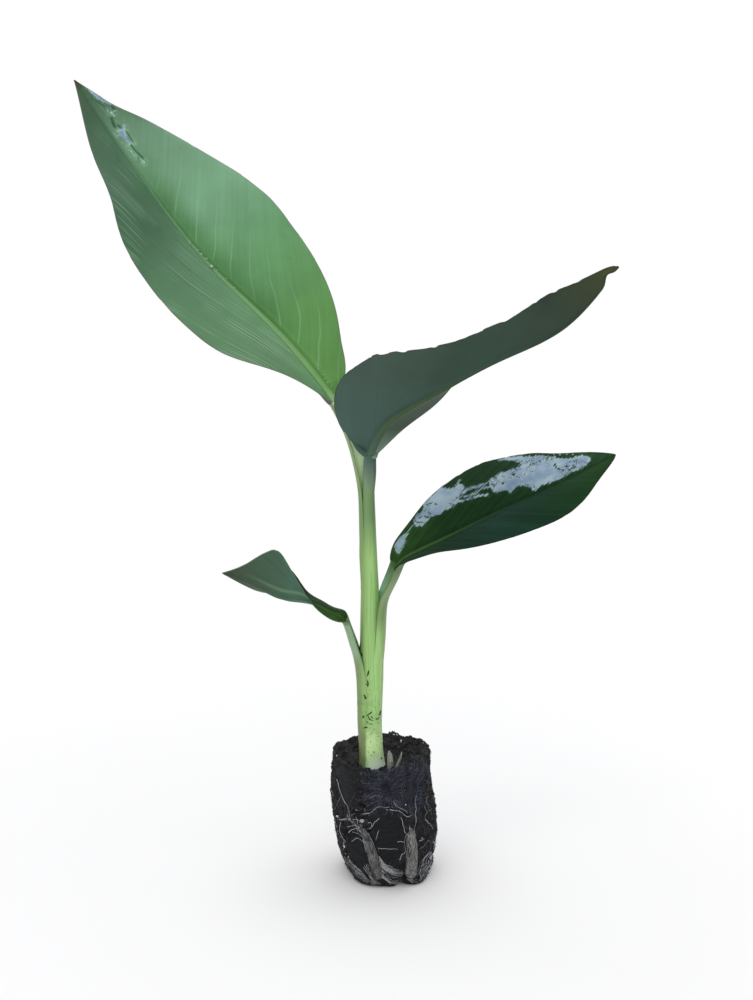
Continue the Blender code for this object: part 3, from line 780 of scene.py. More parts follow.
LOOKS = {
    1: Look((4.2, 1.15), (-0.03, 0.004), 0.35, (0.006, 0.006), 0.5, 11),
    2: Look((1.2, 1.2), (0.0, 0.0), 0.3, (0.02, 0.034), 0.5, 12, kink=(-1.2, 0, 1.5)),
    3: Look((1.6, 1.5), (0.0, 0.0), 0.3, (0.008, 0.006), 0.36, 13),
    4: Look((1.6, 1.6), (0.0, 0.0), 0.12, (0.006, 0.012), 0.5, 14),
}
KINK_PLACE, KINK_LENGTH, KINK_WIDTH = 0.958, 0.018, 3 * MM
THICKNESS = 0.34 * MM
EDGE_THINNING = 0.6  # the share of the thickness that is gone at the margin
VEIN_RELIEF = 0.035 * MM
VEIN_PITCH = 1.3  # mm between veins that stand out enough to feel
GROOVE_DEPTH = 0.45  # as a share of the groove's width, like the ridges beside it
RIDGE_RISE, RIDGE_PLACE, RIDGE_WIDTH = 0.2, 1.9, 0.6
PUCKER_SIZE = 16 * MM


def nicks_of(t, share, seed):
    """Shares of the width missing along a margin: a few shallow bites among fine unevenness."""
    line = np.stack([t * 100, np.full_like(t, seed * 3.7), np.zeros_like(t)], axis=-1)
    uneven = rough_noise(line, 4.0, 3, seed)
    bites = smooth_step((soft_noise(line, 2.2, seed + 9) - 0.35) / 0.4)
    fade = smooth_step(t / 0.3 - 0.35) * smooth_step((1 - t) / 0.06)
    return share * fade * (0.35 * uneven + bites)


print("looks for blades", *LOOKS)

# %% Each blade as a closed grid
def blade_grid(number, back):
    """One blade as a closed grid: the upper face from the left margin to the right, then the under side
    back. back is how thick the stalk is where the blade starts. Returns the grid, its upper face alone and
    the values at the grid's points."""
    leaf, look = LEAVES[number], LOOKS[number]
    frame_of = blade_frame(leaf)
    t = frame_of[0]
    halves = []
    for k, (half, side) in enumerate(((leaf.left, -1), (leaf.right, 1))):
        nicks = nicks_of(t, look.ragged[k], look.seed + k)
        sheet, off, edge = half_sheet(leaf, half, side, frame_of, nicks)
        vein = t[:, None] * leaf.length - look.vein_lean[k] * off / MM - look.vein_bend[k] * (off / MM) ** 2
        halves.append((sheet, off * side, edge, vein))
    sheet, off, edge, vein = (np.concatenate([left[:, :0:-1], right], axis=1) for left, right in zip(*halves))
    face = unit(np.cross(np.gradient(sheet, axis=1), np.gradient(sheet, axis=0)))
    away = np.abs(off)
    hook = hump(t - KINK_PLACE, KINK_LENGTH)[:, None] * hump(away, KINK_WIDTH)
    sheet = sheet + hook[..., None] * np.array(look.kink) * MM
    to_tip = (1 - t)[:, None]
    cup = 1 - smooth_step(t * leaf.length / leaf.cup)[:, None]
    groove = (leaf.base_half_width * look.groove * to_tip + 0.3) * MM
    margin = smooth_step(edge / (2 * MM))
    ridge = hump(away - RIDGE_PLACE * groove, RIDGE_WIDTH * groove)
    relief = -GROOVE_DEPTH * groove * hump(away, groove) + RIDGE_RISE * groove * ridge
    veins = VEIN_RELIEF * np.cos(2 * np.pi * vein / VEIN_PITCH) * smooth_step(away / groove - 1.5) * margin
    uneven = rough_noise(sheet, PUCKER_SIZE, 2, look.seed)
    pucker = look.pucker * MM * uneven * smooth_step(away / (6 * MM)) * margin
    upper = sheet + ((1 - cup) * (relief + veins) + pucker)[..., None] * face
    share = away / (away + edge)
    keel = leaf.rib * MM * to_tip * hump(away, (leaf.base_half_width * to_tip + 0.6) * MM)
    thin = THICKNESS * (1 - EDGE_THINNING * share**8)
    lip = back * MM * (1 - EDGE_THINNING * share**4)
    depth = (1 - cup) * (thin + keel) + cup * lip
    lower = upper - depth[..., None] * face
    grid = np.concatenate([upper, lower[:, ::-1]], axis=1)
    climb = np.repeat(t[:, None] * leaf.length, off.shape[1], axis=1)
    measures = {"along": climb, "across": off / MM, "edge": edge / MM, "vein": vein}
    values = {key: np.concatenate([v, v[:, ::-1]], axis=1) for key, v in measures.items()}
    return grid, upper, values


STALK_BACK = {1: 2.0, 2: 1.7, 3: 2.2, 4: 1.6}  # mm
BLADES = {number: blade_grid(number, STALK_BACK[number]) for number in LEAVES}
for number, (grid, _, _) in BLADES.items():
    seen = seen_at(grid.reshape(-1, 3))
    print("blade", number, "covers pixels", seen.min(axis=0).round(), "to", seen.max(axis=0).round())

# %% [markdown]
# A blade's colour is not one green. It changes from the stalk to the tip and is not the same left and
# right of the rib. It is paler over the rib, streaked along the veins, and edged with a hairline of brown.
# The under side is a dull blue-green with wax on it. All of it is painted from the distances that came
# with the shape, so the pattern follows the leaf wherever it bends.

# %% Leaf materials
@dataclass
class Film:
    """Water on a face: how frayed its edge is, how broken by gaps, how strongly a painted reflection of the
    sky covers the leaf, and the colour of the painted wet shadows beside it."""

    fray: float
    breaks: float
    painted_reflection: float
    shadow: tuple


@dataclass
class Face:
    """One face of a blade. Colours are rows of (place from stalk to tip, colour)."""

    left: tuple
    rib: tuple
    rib_width: float  # mm from the rib's middle, at the stalk
    edges: tuple  # the colour of the left and the right margin
    roughness: float
    shine: float
    right: tuple = ()  # as the left half, if nothing is given
    streak: tuple = (0.3, 0.3)  # how much fine streaks darken and lighten the left and the right half
    beside: tuple = (0, 0, 0, 1)  # the colour next to the rib on the right, and how much of it there is
    beside_share: float = 0.0
    beside_width: float = 8.0  # mm
    near_left: float = 0.0  # how much lighter the left half is next to the rib
    pale_streaks: float = 0.0  # how much broad pale streaks show on the left half
    rib_share: tuple = (0.85, 0.25)  # how much of the rib's colour shows at the stalk and near the tip
    single: float = 0.0  # how much the single pale veins show
    specks: float = 0.3
    tip: tuple = None
    crease: tuple = None  # a pale fold: mm from the rib, width, where it starts and ends, how much shows
    film: Film = None


print("a face is set by", len(Face.__dataclass_fields__), "values")

# %% The material of a face
def under_water(r, shader, face, colour, height):
    """Lays the film of water over a face: a painted reflection of the sky, a painted sheen round it and
    painted wet shadows beside it, over a glossy coat. Returns the colour and the relief that come of it.
    """
    film, inside = face.film, r.value_of("film")
    lines = r.vector(r.times(r.value_of("vein"), 0.9), r.times(r.value_of("across"), 0.16), 0.0)
    drips = r.times(r.swing(lines, 1.0, 3.0, 0.65), film.fray * 5)
    water = r.use(FILM, Inside=r.plus(inside, drips), Fray=film.fray, Breaks=film.breaks)
    # A painted sheen: the colour lightened in patches round the water.
    sheen_near_water = r.times(r.ease(inside, -2.5, 0.0), r.ease(r.noise(r.place(), 500.0, 3.0, 0.6), 0.42, 0.62))
    colour = r.toned(colour, r.plus(r.times(sheen_near_water, 0.5), 1.0))
    colour = r.over(colour, film.shadow, r.value_of("shade"), 0.8)
    # The water's colour is a painted reflection of the sky, paler at its edge and in glints.
    cloud = r.ease(r.noise(r.place(), 130.0, 3.0, 0.55), 0.36, 0.64)
    painted_sky = r.mix(cloud, rgb(138, 166, 192), rgb(178, 200, 214))
    glint = r.ease(r.noise(r.place(), 500.0, 2.0, 0.6), 0.46, 0.6)
    edge = r.mix(glint, painted_sky, rgb(214, 228, 230))
    colour = r.over(colour, r.mix(water["Depth"], edge, painted_sky), water["Mask"], film.painted_reflection)
    r.feed(shader["Coat Weight"], r.times(water["Mask"], 0.6))
    r.feed(shader["Roughness"], r.ease(water["Mask"], 0.0, 1.0, face.roughness, 0.2))
    shader["Coat Roughness"].default_value = 0.06
    shader["Coat IOR"].default_value = 1.4
    return colour, r.plus(height, r.times(water["Height"], 0.8))


def leaf_face(name, face, length):
    """The material of one face: its two halves, then streaks, veins, rib, margin and specks over them."""
    material, r, shader = new_material(name, face.roughness, face.shine)
    climb = r.times(r.value_of("along"), 1 / length)
    across, vein = r.value_of("across"), r.value_of("vein")
    away = r.maths("ABSOLUTE", across)
    on_right = r.ease(across, -0.4, 0.4)
    colour = r.mix(on_right, r.ramp(climb, *face.left), r.ramp(climb, *(face.right or face.left)))
    near = r.times(r.ease(across, 0.0, 0.6), r.ease(across, face.beside_width, 1.0))
    midway = r.ease(climb, 0.12, 0.3), r.ease(climb, 0.85, 0.6)
    colour = r.over(colour, face.beside, near, *midway, face.beside_share)
    veins = r.use(STREAKS, Place=r.vector(vein, 0.0, across), Count=1.1, Length=0.04)
    patches = r.use(MOTTLE, Patch_Size=26.0, Seed=float(len(name)))["Patches"]
    depth = r.ease(across, -0.4, 0.4, *face.streak)
    tone = r.plus(r.times(r.plus(veins["Lines"], -0.5), depth), r.times(r.plus(patches, -0.5), 0.14))
    lift = r.times(r.ease(across, -14.0, -1.0), r.ease(across, 0.4, -0.4), face.near_left)
    colour = r.toned(colour, r.plus(r.plus(tone, lift), 1.0))
    broad = r.use(STREAKS, Place=r.vector(vein, 40.0, across), Count=1.5, Length=0.045)["Lines"]
    broad = r.times(r.ease(broad, 0.55, 0.9), r.ease(r.noise(r.place(), 45.0), 0.38, 0.6))
    fading = r.ease(across, 0.0, -1.5), r.ease(climb, 0.92, 0.7)
    colour = r.over(colour, rgb(142, 176, 146), broad, *fading, face.pale_streaks)
    single = r.use(SINGLE_VEINS, Place=vein, Pitch=13.0, Width=0.8, Wander=1.0)["Mask"]
    fading = r.ease(across, 1.0, 4.0), r.ease(away, 28.0, 8.0), r.ease(climb, 0.8, 0.6)
    colour = r.over(colour, rgb(158, 200, 152), single, *fading, face.single)
    if face.crease:
        place, breadth, start, end, amount = face.crease
        line = r.ease(r.maths("ABSOLUTE", r.plus(across, -place)), breadth, 0.0)
        fading = r.ease(climb, start, start + 0.1), r.ease(climb, end, end - 0.25)
        colour = r.over(colour, face.rib[0][1], line, *fading, amount)
    width = r.ease(r.value_of("along"), 0.0, length * 0.8, face.rib_width, face.rib_width * 0.35)
    on_rib = r.ease(away, r.times(width, 1.3), r.times(width, 0.5))
    colour = r.over(colour, r.ramp(climb, *face.rib), on_rib, r.ease(climb, 0.3, 1.0, *face.rib_share))
    if face.tip:
        colour = r.over(colour, face.tip, r.ease(climb, 0.965, 0.995))
    rim = r.ease(r.value_of("edge"), 0.42, 0.1)
    colour = r.over(colour, r.mix(on_right, *face.edges), rim, 0.8)
    specks = r.use(SPECKS, Speck_Size=1.0, Share=0.12, Seed=3.0)["Mask"]
    colour = r.over(colour, rgb(34, 50, 34), specks, face.specks)
    height = r.times(veins["Height"], 0.5)
    if face.film:
        colour, height = under_water(r, shader, face, colour, height)
    r.finish(shader, colour, height, 0.5, 0.0001)
    return material


print("two functions lay a face's colours in layers, the water on top")

# %% The colours of each face
def even(*colours):
    """Stops at even places for the given screen colours."""
    return tuple((k / max(len(colours) - 1, 1), rgb(*colour)) for k, colour in enumerate(colours))


def pale_start(pale, *colours):
    """Even stops for the colours, with a pale one at the stalk that is gone a twentieth of the way up."""
    return ((0, rgb(*pale)), (0.05, rgb(*colours[0])), *even(*colours)[1:])


def placed(*stops):
    """Stops from rows of place, red, green and blue."""
    return tuple((place, rgb(*colour)) for place, *colour in stops)


def both(*colour):
    """The same colour for the left and the right margin."""
    return rgb(*colour), rgb(*colour)


TOPS = {
    1: Face(
        left=even((84, 124, 78), (86, 128, 84), (84, 128, 88), (70, 108, 76), (60, 98, 68), (56, 84, 56)),
        # The right half's pale grey-green stops are a painted sheen.
        right=even((98, 150, 76), (94, 146, 76), (100, 154, 100), (124, 172, 132), (114, 153, 121),
                   (60, 92, 64)),
        rib=even((142, 186, 118), (134, 178, 118), (108, 150, 104), (90, 130, 100)),
        rib_width=1.2, edges=both(112, 98, 98), roughness=0.42, shine=0.2, streak=(0.12, 0.1),
        pale_streaks=0.5, beside=rgb(70, 124, 60), beside_share=0.75, beside_width=13.0, near_left=0.22,
        rib_share=(0.8, 0.3), single=0.36, specks=0.2, tip=rgb(74, 72, 52),
        film=Film(0.3, 0.2, 0.85, rgb(44, 84, 44)),
    ),
    2: Face(
        left=even((60, 104, 54), (62, 108, 58), (52, 92, 50)),
        rib=even((140, 176, 104), (110, 150, 84)), rib_width=1.2, edges=both(84, 72, 70), roughness=0.42,
        shine=0.3,
    ),
    3: Face(
        left=even((50, 84, 38), (26, 54, 26), (26, 56, 30), (28, 58, 32), (36, 70, 38)),
        right=even((44, 70, 32), (26, 54, 34), (34, 64, 52), (28, 60, 34), (34, 66, 28)),
        rib=even((96, 132, 76), (60, 92, 54), (36, 66, 38), (32, 60, 34)),
        # Its strong streaks are partly veins and partly a painted sheen of fine light lines.
        rib_width=0.7, edges=both(36, 42, 34), roughness=0.55, shine=0.06, streak=(0.5, 0.3),
        rib_share=(0.8, 0.2), film=Film(0.7, 0.9, 0.86, rgb(22, 44, 26)),
    ),
    4: Face(
        left=even((52, 92, 30), (46, 76, 36), (46, 78, 36)),
        right=even((40, 72, 26), (36, 62, 28), (40, 70, 34)),
        rib=even((66, 98, 38), (60, 88, 38)), rib_width=0.9, edges=both(96, 124, 92), roughness=0.45,
        shine=0.2,
    ),
}  # fmt: skip
UNDER_4_PALE = (132, 162, 120)
UNDERS = {
    1: Face(
        left=even((84, 116, 96), (84, 116, 98)), rib=even((150, 178, 122), (120, 152, 106)),
        rib_width=1.6, edges=both(92, 82, 84), roughness=0.5, shine=0.25,
    ),
    # Leaf 2's under side is painted as dark as it looks in shade, facing down and away from the light.
    2: Face(
        left=placed((0.0, 132, 158, 136), (0.05, 106, 130, 106), (0.1, 66, 88, 66), (0.18, 50, 72, 54),
                    (1.0, 54, 62, 42)),
        right=even((66, 92, 82), (58, 82, 72), (56, 78, 64), (50, 72, 58), (44, 61, 46), (62, 70, 34)),
        rib=even((68, 92, 78), (66, 90, 50), (64, 86, 44), (50, 70, 44), (46, 64, 46), (44, 60, 44),
                 (60, 68, 34)),
        rib_width=0.8, edges=both(56, 44, 42), roughness=0.55, shine=0.2, streak=(0.07, 0.07),
        rib_share=(0.8, 0.7), specks=0.35,
    ),
    3: Face(
        left=even((104, 134, 90), (66, 92, 76), (66, 92, 76)),
        rib=even((126, 154, 100), (110, 136, 86)), rib_width=1.3, edges=both(60, 60, 54), roughness=0.5,
        shine=0.2,
    ),
    4: Face(
        left=pale_start(UNDER_4_PALE, (54, 80, 54), (52, 84, 56), (64, 100, 76), (72, 108, 88), (70, 96, 74),
                        (58, 66, 52)),
        right=pale_start(UNDER_4_PALE, (54, 70, 40), (56, 82, 52), (62, 96, 70), (68, 104, 80), (68, 90, 68),
                         (58, 66, 52)),
        rib=even((116, 144, 116), (112, 138, 112), (90, 116, 92), (66, 82, 64)),
        # The pale left margin is a painted highlight along the edge of the fold.
        rib_width=1.0, crease=(-3.6, 1.3, 0.36, 0.95, 0.6), edges=(rgb(128, 148, 124), rgb(62, 66, 56)),
        roughness=0.5, shine=0.2, streak=(0.12, 0.12), rib_share=(0.8, 0.3),
    ),
}  # fmt: skip

FACES = {}
for number, leaf in LEAVES.items():
    sides = (("top", TOPS[number]), ("under", UNDERS[number]))
    FACES[number] = [leaf_face(f"leaf_{number}_{side}", face, leaf.length) for side, face in sides]
print("leaf materials:", sum(len(faces) for faces in FACES.values()))

# %% [markdown]
# Two leaves carry water. On the real plant it lies in sheets that end in ragged lobes. Where it lies
# was read off the photograph as a few corner points in pixels. Each point of the blade is looked up
# in that outline through the camera, and keeps how far inside it lies, in mm. The material frays the
# edge, so the outline needs only its main corners.

# %% Where the water lies
FILM_REACH = 5  # mm; further in or out than this, nothing changes
LEAF_3_WATER = [
    [(424, 504), (430, 497.5), (435, 492.6), (440.6, 488), (444.5, 487), (447, 488.7), (451.7, 488.7),
     (456, 486.5), (459, 483), (464.4, 486.5), (461, 492), (459, 497.5), (457, 503), (451.7, 507.5),
     (445, 510.3), (440.6, 514), (436, 515.2), (430.7, 516.3), (427.4, 520.8), (422, 526.3), (415.2, 526.3),
     (413, 522), (416.3, 516.3), (420.7, 512.5), (423.5, 508.6)],
    [(489, 485.7), (491.8, 481), (497, 475.5), (505.4, 471.5), (515, 468), (522.3, 464.7), (516, 461.3),
     (505.4, 460), (496.5, 460.6), (505.4, 457.6), (519, 456), (532.5, 456), (542, 455.2), (552.8, 457.2),
     (561, 458.6), (569, 458.6), (577.3, 456.5), (581.3, 455.2), (590.8, 457.2), (590, 461.3), (585.4, 466),
     (580, 469.4), (571.8, 472), (565, 476.2), (557, 480.3), (548.8, 483), (542, 485.7), (533.8, 490.5),
     (529.8, 487.7), (523, 485.7), (517.6, 485.7), (513.5, 489.8), (509.4, 493.2), (507.4, 489), (502, 490.5),
     (496, 492.5), (493, 490.5)],
    [(394.2, 545), (398.6, 538.4), (404.2, 534), (408, 533.5), (405.8, 539.5), (404.2, 545), (400.8, 549.5),
     (398.6, 554.5), (396, 551.7)],
]  # fmt: skip
LEAF_1_WATER = [
    [(86, 88), (90.5, 89.7), (97, 93.3), (104, 98.5), (110, 102.5), (112, 105.3), (106.6, 103.7),
     (101.7, 101.3), (97.7, 99), (93, 95), (89.3, 91.7)],
    [(121, 124.2), (124.3, 123.4), (126, 127.4), (124.3, 131.5), (126.7, 137), (130, 142), (129.5, 146),
     (127.5, 143.5), (124.3, 139.5), (121.8, 137), (118.6, 135.5), (116.6, 132.3), (117.8, 130.3),
     (121.8, 129.5), (123.4, 126.2)],
]  # fmt: skip
# Narrow runs of water, and dark gaps and wet shadows beside it: width in pixels, then points along it.
LEAF_3_RUNS = [
    (2.4, [(460.5, 493), (471.6, 488), (484, 484.3), (491, 481.5)]),
    (4.5, [(490, 482), (496, 478.5), (501, 474.5)]),
    (1.8, [(462.8, 497.5), (476, 493), (480.4, 488.7), (491.5, 486)]),
    (2.2, [(457, 502), (463, 500.3), (471.6, 498), (481.6, 495.3), (487, 494.5)]),
    (1.0, [(452, 492), (456, 486), (460, 479.5)]), (0.9, [(408, 531), (411, 527), (414, 524)]),
]
LEAF_3_GAPS = [
    (1.2, [(424.6, 509.7), (427.4, 512), (430.7, 514)]),
    (1.3, [(419.6, 518), (424, 515.8), (428, 517.4)]), (0.9, [(415, 521), (418, 522.5), (422, 522)]),
    (1.0, [(427, 505), (431, 503), (436, 504)]), (2.6, [(513.3, 474.4), (513.8, 474)]),
    (2.2, [(532.2, 472), (532.8, 471.6)]), (2.2, [(502.4, 483.8), (503, 483.4)]),
    (2.4, [(554.6, 465.6), (555.2, 465)]), (1.2, [(566, 466.2), (566.8, 465.8)]),
    (1.2, [(573, 465.6), (573.6, 465.2)]), (1.3, [(524, 474.2), (524.6, 474)]),
    (0.7, [(508, 478), (516, 476.5), (522, 477.5)]), (1.0, [(556, 468), (566, 471), (575, 467)]),
]
LEAF_1_RUNS = [
    (1.3, [(106, 108), (108.5, 111.5), (112, 113.3), (115.5, 111)]),
    (1.2, [(112.5, 113.5), (114.8, 116.8)]), (1.2, [(130, 142), (132.7, 142.6)]),
    (1.2, [(131, 151), (134, 156), (138.3, 156.3), (141.5, 160), (144.3, 162.4)]),
]
LEAF_1_SHADES = [
    (3.0, [(111.5, 117.5), (112.5, 121.5), (114.6, 126.5)]), (2.2, [(117.5, 125), (119.8, 127)]),
    (1.3, [(126, 131), (129.5, 136), (133, 142)]),
    (1.8, [(131, 145), (135, 150.5), (140, 155), (143, 158)]), (2.4, [(112.5, 107), (114.5, 109)]),
    (1.0, [(91.5, 98), (98, 102), (104, 106.3)]),
]


print("sheets of water:", len(LEAF_1_WATER), "on leaf 1 and", len(LEAF_3_WATER), "on leaf 3")

# %% How far inside the water each point lies
def gap_to_line(pixels, corners):
    """How many pixels each point lies from a line through corners."""
    corners = np.array(corners, float)
    nearest = np.full(pixels.shape[:-1], np.inf)
    for a, b in zip(corners[:-1], corners[1:]):
        share = np.clip(((pixels - a) @ (b - a)) / ((b - a) @ (b - a)), 0, 1)
        nearest = np.minimum(nearest, np.linalg.norm(pixels - (a + share[..., None] * (b - a)), axis=-1))
    return nearest


def inside_runs(pixels, runs):
    """How many pixels each point lies inside the nearest of some narrow runs."""
    return np.max([width / 2 - gap_to_line(pixels, corners) for width, corners in runs], axis=0)


def inside_outline(pixels, corners):
    """How many pixels each point lies inside a closed outline; outside, the number is below 0."""
    corners = np.array(corners, float)
    nearest = gap_to_line(pixels, [*corners, corners[0]])
    crossings = np.zeros(pixels.shape[:-1], int)
    for a, b in zip(corners, np.roll(corners, -1, axis=0)):
        spans = (a[1] > pixels[..., 1]) != (b[1] > pixels[..., 1])
        height = b[1] - a[1] if b[1] != a[1] else 1.0
        crossings += spans & (pixels[..., 0] < a[0] + (pixels[..., 1] - a[1]) * (b[0] - a[0]) / height)
    return np.where(crossings % 2 == 1, nearest, -nearest)


def water_on(number):
    """For each point of a blade's upper face: how many mm inside the water it lies, from -5 to 5, and how
    much it is in a wet shadow."""
    upper = BLADES[number][1]
    outlines, runs, gaps, shades = WATER[number]
    pixels = seen_at(upper)
    mm_per_pixel = DISTANCE / FOCAL_PIXELS / MM
    inside = np.max([inside_outline(pixels, outline) for outline in outlines], axis=0)
    inside = np.maximum(inside, inside_runs(pixels, runs))
    if gaps:
        inside = np.minimum(inside, -inside_runs(pixels, gaps))
    shade = smooth_step(inside_runs(pixels, shades) * 1.2 + 0.5)
    return np.clip(inside * mm_per_pixel, -FILM_REACH, FILM_REACH), shade


WATER = {
    1: (LEAF_1_WATER, LEAF_1_RUNS, [], LEAF_1_SHADES),
    3: (LEAF_3_WATER, LEAF_3_RUNS, LEAF_3_GAPS, LEAF_3_GAPS),
}


print("a pixel is", round(DISTANCE / FOCAL_PIXELS / MM, 3), "mm at the plant")

# %% The blades as pieces
def add_blade(number):
    """One leaf's blade as a piece, with its upper and under side in two materials."""
    grid, upper, values = BLADES[number]
    nothing = np.zeros(upper.shape[:2])
    dry = nothing - FILM_REACH
    film, shade = water_on(number) if number in WATER else (dry, nothing)
    values["film"] = np.concatenate([film, dry], axis=1)
    values["shade"] = np.concatenate([shade, nothing], axis=1)
    columns = grid.shape[1]
    slots = (np.arange(columns) >= columns // 2).astype(int)
    slots[-1] = 0
    blade = add_skin(f"leaf_{number}_blade", grid, FACES[number], slots, values)
    settle(blade, "leaf_face", f"blade_{number}")
    return blade


for number in LEAVES:
    blade = add_blade(number)
    print(blade.name, len(blade.data.polygons), "faces")

# %% [markdown]
# The stem of a banana is no trunk. It is a roll of leaf sheaths, each wrapped round the next, and each
# leaf's stalk is the part of its sheath that has left the roll. So the inner stem is a tapering column
# with fine lengthwise ribs, and every stalk is one long grooved surface. At its foot the section hugs
# the stem, at its top it is the cup in which the blade starts, and on the way the one turns into the other.

# %% The inner stem
STEM_AXIS = [(-5.8, -6, 49.8), (-6.8, -6, 80), (-6.6, -6, 110), (-6.9, -6, 140), (-7.2, -6, 170)]
STEM_RADII = [5.0, 4.2, 4.1, 3.2, 2.3]
STEM_LOW, STEM_HIGH = STEM_AXIS[0][2] * MM, STEM_AXIS[-1][2] * MM
STEM_FLARE, STEM_FLARE_HEIGHT = 0.5 * MM, 4 * MM
STEM_SUNK = 1.5 * MM  # the foot is drawn this far into the peat
STEM_RIB, STEM_RIB_ROUND, STEM_RIB_UP = 0.035 * MM, 30, 40  # height, and how far its noise is drawn out
STEM_ROWS, STEM_COLUMNS = 260, 96


def stem_axis(z):
    """The stem's centre line at heights z, in metres."""
    points = np.array(STEM_AXIS) * MM
    line = spline(points[:, :2], (z - STEM_LOW) / (STEM_HIGH - STEM_LOW))
    return np.column_stack([line, z])


def stem_radius(z):
    """The stem's radius at heights z: a slow taper, with a flare just above the soil."""
    taper = spline(STEM_RADII, (z - STEM_LOW) / (STEM_HIGH - STEM_LOW)) * MM
    return taper + STEM_FLARE * np.exp(-np.clip(z - STEM_LOW, 0, None) / STEM_FLARE_HEIGHT)


def stem_grid():
    """Level rings. Their radius carries fine ribs, which drift a little round the stem on their way up."""
    z = np.linspace(STEM_LOW - STEM_SUNK, STEM_HIGH, STEM_ROWS)
    azimuth = np.arange(STEM_COLUMNS) * 360 / STEM_COLUMNS
    ring = polar(azimuth)
    drift = ring[None] * STEM_RIB_ROUND + np.array([0, 0, 1.0]) * z[:, None, None] * STEM_RIB_UP
    ribs = rough_noise(drift, 2.4, 2, 21)
    radius = stem_radius(z)[:, None] + STEM_RIB * ribs
    return stem_axis(z)[:, None] + radius[..., None] * ring[None]


STEM_GRID = stem_grid()
print("stem grid", STEM_GRID.shape, "top at", seen_at(STEM_GRID[-1].mean(axis=0)).round())

# %% Stalks
@dataclass
class Stalk:
    """A leaf's foot: sheath from foot_z to part_z on the side at azimuth, then a free grooved stalk."""

    foot_z: float
    part_z: float
    azimuth: float
    wrap: tuple  # degrees that the sheath reaches round the stem, at its foot and where it parts, left
    wrap_right: tuple  # and right
    sheath: float  # its thickness
    free: list  # points of the free stalk's middle, between the roll and the blade


STALKS = {
    1: Stalk(126, 146, 145, (62, 80), (62, 80), 1.1,
             [(-7.5, -5.8, 156), (-8.1, -5.2, 166), (-9.7, -4, 176), (-12.2, -2, 186), (-15.8, 1, 195)]),
    3: Stalk(60, 96, -15, (67, 67), (26, 52), 1.6,
             [(-5.7, -6.3, 107), (-5, -6.8, 116), (-3.4, -7.5, 124), (-0.2, -8.1, 131)]),
    4: Stalk(49, 76, 201, (38, 55), (72, 72), 1.1,
             [(-7.2, -6, 84), (-8.2, -6.2, 92), (-10.1, -6.8, 99.5), (-12.4, -8, 106)]),
}  # fmt: skip
STALK_ROWS, STALK_COLUMNS = 170, 44
SHEATH_SHARE = 0.4  # of the rows lie on the sheath
SHEATH_SUNK = 0.05 * MM  # a sheath's inner face lies this far inside the stem
SHEATH_FOOT = 0.15  # the share of its thickness that a sheath has at its very foot
SHEATH_RIB, TOP_STALK_RIB = 0.03 * MM, 0.02 * MM
LIP_THINNING, HUGGING_LIP = 0.6, 0.37  # shares of the wall that are gone at a lip


def stalk_end(leaf):
    """Where the stalk meets the blade: the groove's centre, its direction, opening, half-width and depth."""
    _, rib, tangent, up, _ = blade_frame(leaf)
    slope = np.radians((leaf.left.fold[0] + leaf.right.fold[0]) / 2)
    width = (leaf.base_half_width + TIP_HALF_WIDTH) * MM
    groove = width * np.array([np.cos(slope), np.sin(slope)])
    return rib[0] + groove[1] * up[0], tangent[0], up[0], groove


def grooved(centres, tangent, up, inner, depth, left, right, fine, hug):
    """Grooved sections along centres. An inner arc of half-width and depth inner runs from left to right
    degrees, and the outer arc lies depth further out, less towards the two lips. Where hug is 1 the lips
    run out to a thin edge, as on a sheath that lies close on the stem."""
    across = np.cross(tangent, up)
    s = np.linspace(-1, 1, STALK_COLUMNS)[None]
    turn = np.radians(np.where(s < 0, left[:, None], right[:, None])) * s
    sine, cosine = np.sin(turn), np.cos(turn)
    arc = laid_out(centres, across, up, inner[:, :1] * sine, -inner[:, 1:] * cosine)
    leaning, rising = -sine / inner[:, :1], cosine / inner[:, 1:]
    face = unit(leaning[..., None] * across[:, None] + rising[..., None] * up[:, None])
    wall = depth[:, None] * (1 - LIP_THINNING * s**4 - HUGGING_LIP * hug * s**2) + fine * np.cos(turn * 9)
    outer = arc - wall[..., None] * face
    side = np.repeat(s, len(centres), axis=0)
    return np.concatenate([arc, outer[:, ::-1]], axis=1), np.concatenate([side, side[:, ::-1]], axis=1)


def stalk_values(grid, side, length, free):
    """What the materials read: the place across the groove, the mm on the way up, and how free it is."""
    columns = grid.shape[1]
    outside = np.repeat((np.arange(columns) >= columns // 2)[None] * 1.0, len(grid), axis=0)
    along_it, free = (np.repeat(value, columns, axis=1) for value in (length, free))
    return {"side": side, "along": along_it, "free": free, "outside": outside}


print("stalk 3 meets its blade with a groove of", (stalk_end(LEAVES[3])[3] / MM).round(2), "mm")

